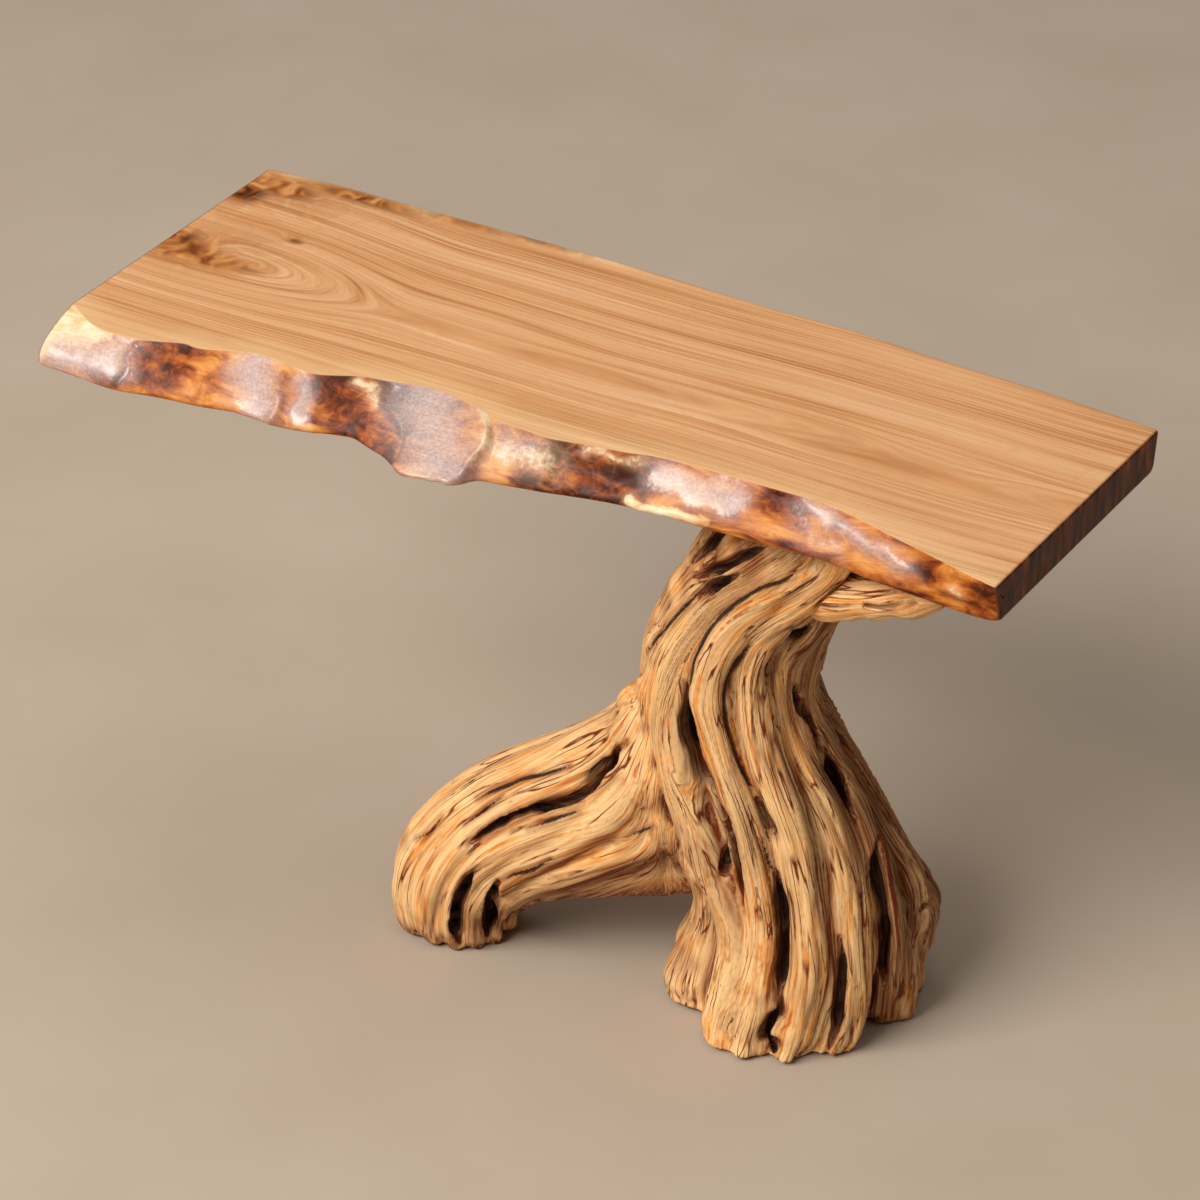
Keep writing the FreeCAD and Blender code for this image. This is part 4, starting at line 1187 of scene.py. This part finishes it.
# %% [markdown]
# ## Mesh of the slab
# The rings are joined by four-sided faces, and one face closes each end.  What the finish reads
# is stored with every point.

# %% Mesh of the slab
faces = []
for i in range(ring_count - 1):
    a = i * ring_size + np.arange(ring_size)
    b = i * ring_size + np.roll(np.arange(ring_size), -1)
    faces.extend(np.column_stack([a, b, b + ring_size, a + ring_size]).tolist())
faces.append(list(range(ring_size))[::-1])
faces.append(list(range((ring_count - 1) * ring_size, ring_count * ring_size)))
slab_piece = mesh_object("slab_top_wood", slab_points, faces, slab_wood)
# The sawn ends are flat, so they aren't smoothed.
face_ring = np.array([face[0] for face in faces]) // ring_size
in_end = (face_ring < len(end_insets) - 1) | (face_ring >= ring_count - len(end_insets))
in_end[-2:] = True
slab_piece.data.polygons.foreach_set("use_smooth", ~in_end)

on_edge = {"pale": pale, "dark": dark, "gloss_and_sheen": gloss_and_sheen, "edge": np.clip(edge_t / 0.012, 0, 1)}
for name, values in on_edge.items():
    whole = np.zeros((ring_count, ring_size))
    whole[:, :front_part] = values
    store(slab_piece, name, whole)
store(slab_piece, "end", np.repeat(np.clip(ring_inset / rim_insets[0], 0, 1), ring_size))
store(slab_piece, "knot", knot)
store(slab_piece, "sap", sap)
store(slab_piece, "grain", np.column_stack([sx, growth, sy + 0.7 * sz]), "FLOAT_VECTOR")
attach(slab_piece, "root")
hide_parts("slab_top")

# %% [markdown]
# ## Fasteners and glides
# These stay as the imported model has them.  Zinc plated steel, black powder coat, brass, moulded
# polyamide and pressed felt differ in colour, in roughness and in how fine their speckle is.

# %% Finishes of the fasteners
# Each node: its material, two colours, how metallic and how rough it is, and its speckle in mm
finishes = {
    "limb_dowels": ("turned_beech", "#D2B48A", "#B9966A", 0.0, 0.6, 3.0),
    "mounting_plate": ("black_powder_coat", "#1C1C1C", "#2A2A2A", 0.0, 0.55, 0.8),
    "plate_screws": ("zinc_plated_steel", "#B9BABC", "#9A9C9F", 1.0, 0.34, 2.0),
    "slab_bolts": ("zinc_plated_bolt_steel", "#B4B6B8", "#94979A", 1.0, 0.32, 2.0),
    "bolt_washers": ("zinc_plated_washer_steel", "#BCBDBF", "#A2A4A6", 1.0, 0.36, 2.0),
    "threaded_inserts": ("turned_brass", "#C9A45C", "#B08B45", 1.0, 0.3, 1.5),
    "glide_cups": ("moulded_polyamide", "#2B2724", "#231F1D", 0.0, 0.5, 1.0),
    "glide_felts": ("pressed_felt", "#5E4C3C", "#47392D", 0.0, 0.95, 0.6),
    "glide_screws": ("zinc_plated_screw_steel", "#B9BABC", "#9A9C9F", 1.0, 0.34, 2.0),
}
for name, (title, first, second, metal, rough, grit_mm) in finishes.items():
    material, tree, shader, spot = new_material(title)
    grit = noise(tree, spot, 1000 / grit_mm, 3.0)
    fill(tree, shader, {
        "Base Color": ramped(tree, grit, (0.35, first), (0.65, second)),
        "Normal": bumped(tree, grit, 0.15, 0.0003),
        "Metallic": metal,
        "Roughness": rough,
    })
    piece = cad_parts[name]
    piece.data.materials.clear()
    piece.data.materials.append(material)
    print(name, "is", title)

# %% [markdown]
# ## Floor and backdrop
# The photograph shows a seamless taupe studio ground.  The camera looks down on it, so one large
# flat sheet of matt paper fills the picture, and it keeps the table's soft shadow.

# %% Floor
paper, tree, shader, spot = new_material("matt_taupe_paper")
mottle = noise(tree, spot, 1000 / 350, 3.0)
fill(tree, shader, {
    "Base Color": ramped(tree, mottle, (0.3, "#B3A492"), (0.7, "#B9AB9A")),
    "Roughness": 0.9,
    "Specular IOR Level": 0.2,
})
side = 14000.0             # half the sheet's width, in mm
sheet = [(-side, -side, 0), (side, -side, 0), (side, side, 0), (-side, side, 0)]
floor = mesh_object("floor", sheet, [(0, 1, 2, 3)], paper)

# %% [markdown]
# ## Light
# A large soft box to the front left gives the pale gleam on the live edge, a wide one overhead
# lights the top evenly, and a dim room fills the shade.

# %% Lamps and room


def soft_box(name, place, target, size, power, code):
    """A rectangular lamp that faces its target."""
    lamp = bpy.data.lights.new(name, "AREA")
    lamp.shape = "RECTANGLE"
    lamp.size, lamp.size_y = size
    lamp.energy = power
    lamp.color = srgb(code)[:3]
    made = bpy.data.objects.new(name, lamp)
    made.location = place
    made.rotation_euler = (Vector(target) - Vector(place)).to_track_quat("-Z", "Y").to_euler()
    bpy.context.collection.objects.link(made)


soft_box("key_left", (-2.6, -6.4, 6.6), (0.0, -0.1, 0.45), (7.0, 3.6), 1000, "#FFFAF5")
soft_box("overhead", (0.2, 0.6, 6.4), (0.2, 0.4, 0.0), (7.5, 6.5), 200, "#FFFAF4")
room = bpy.data.worlds.new("room")
bpy.context.scene.world = room
room.use_nodes = True
fill(room.node_tree, room.node_tree.nodes["Background"], {"Color": srgb("#FFF7F0"), "Strength": 0.08})
bpy.context.scene.view_settings.view_transform = "Standard"
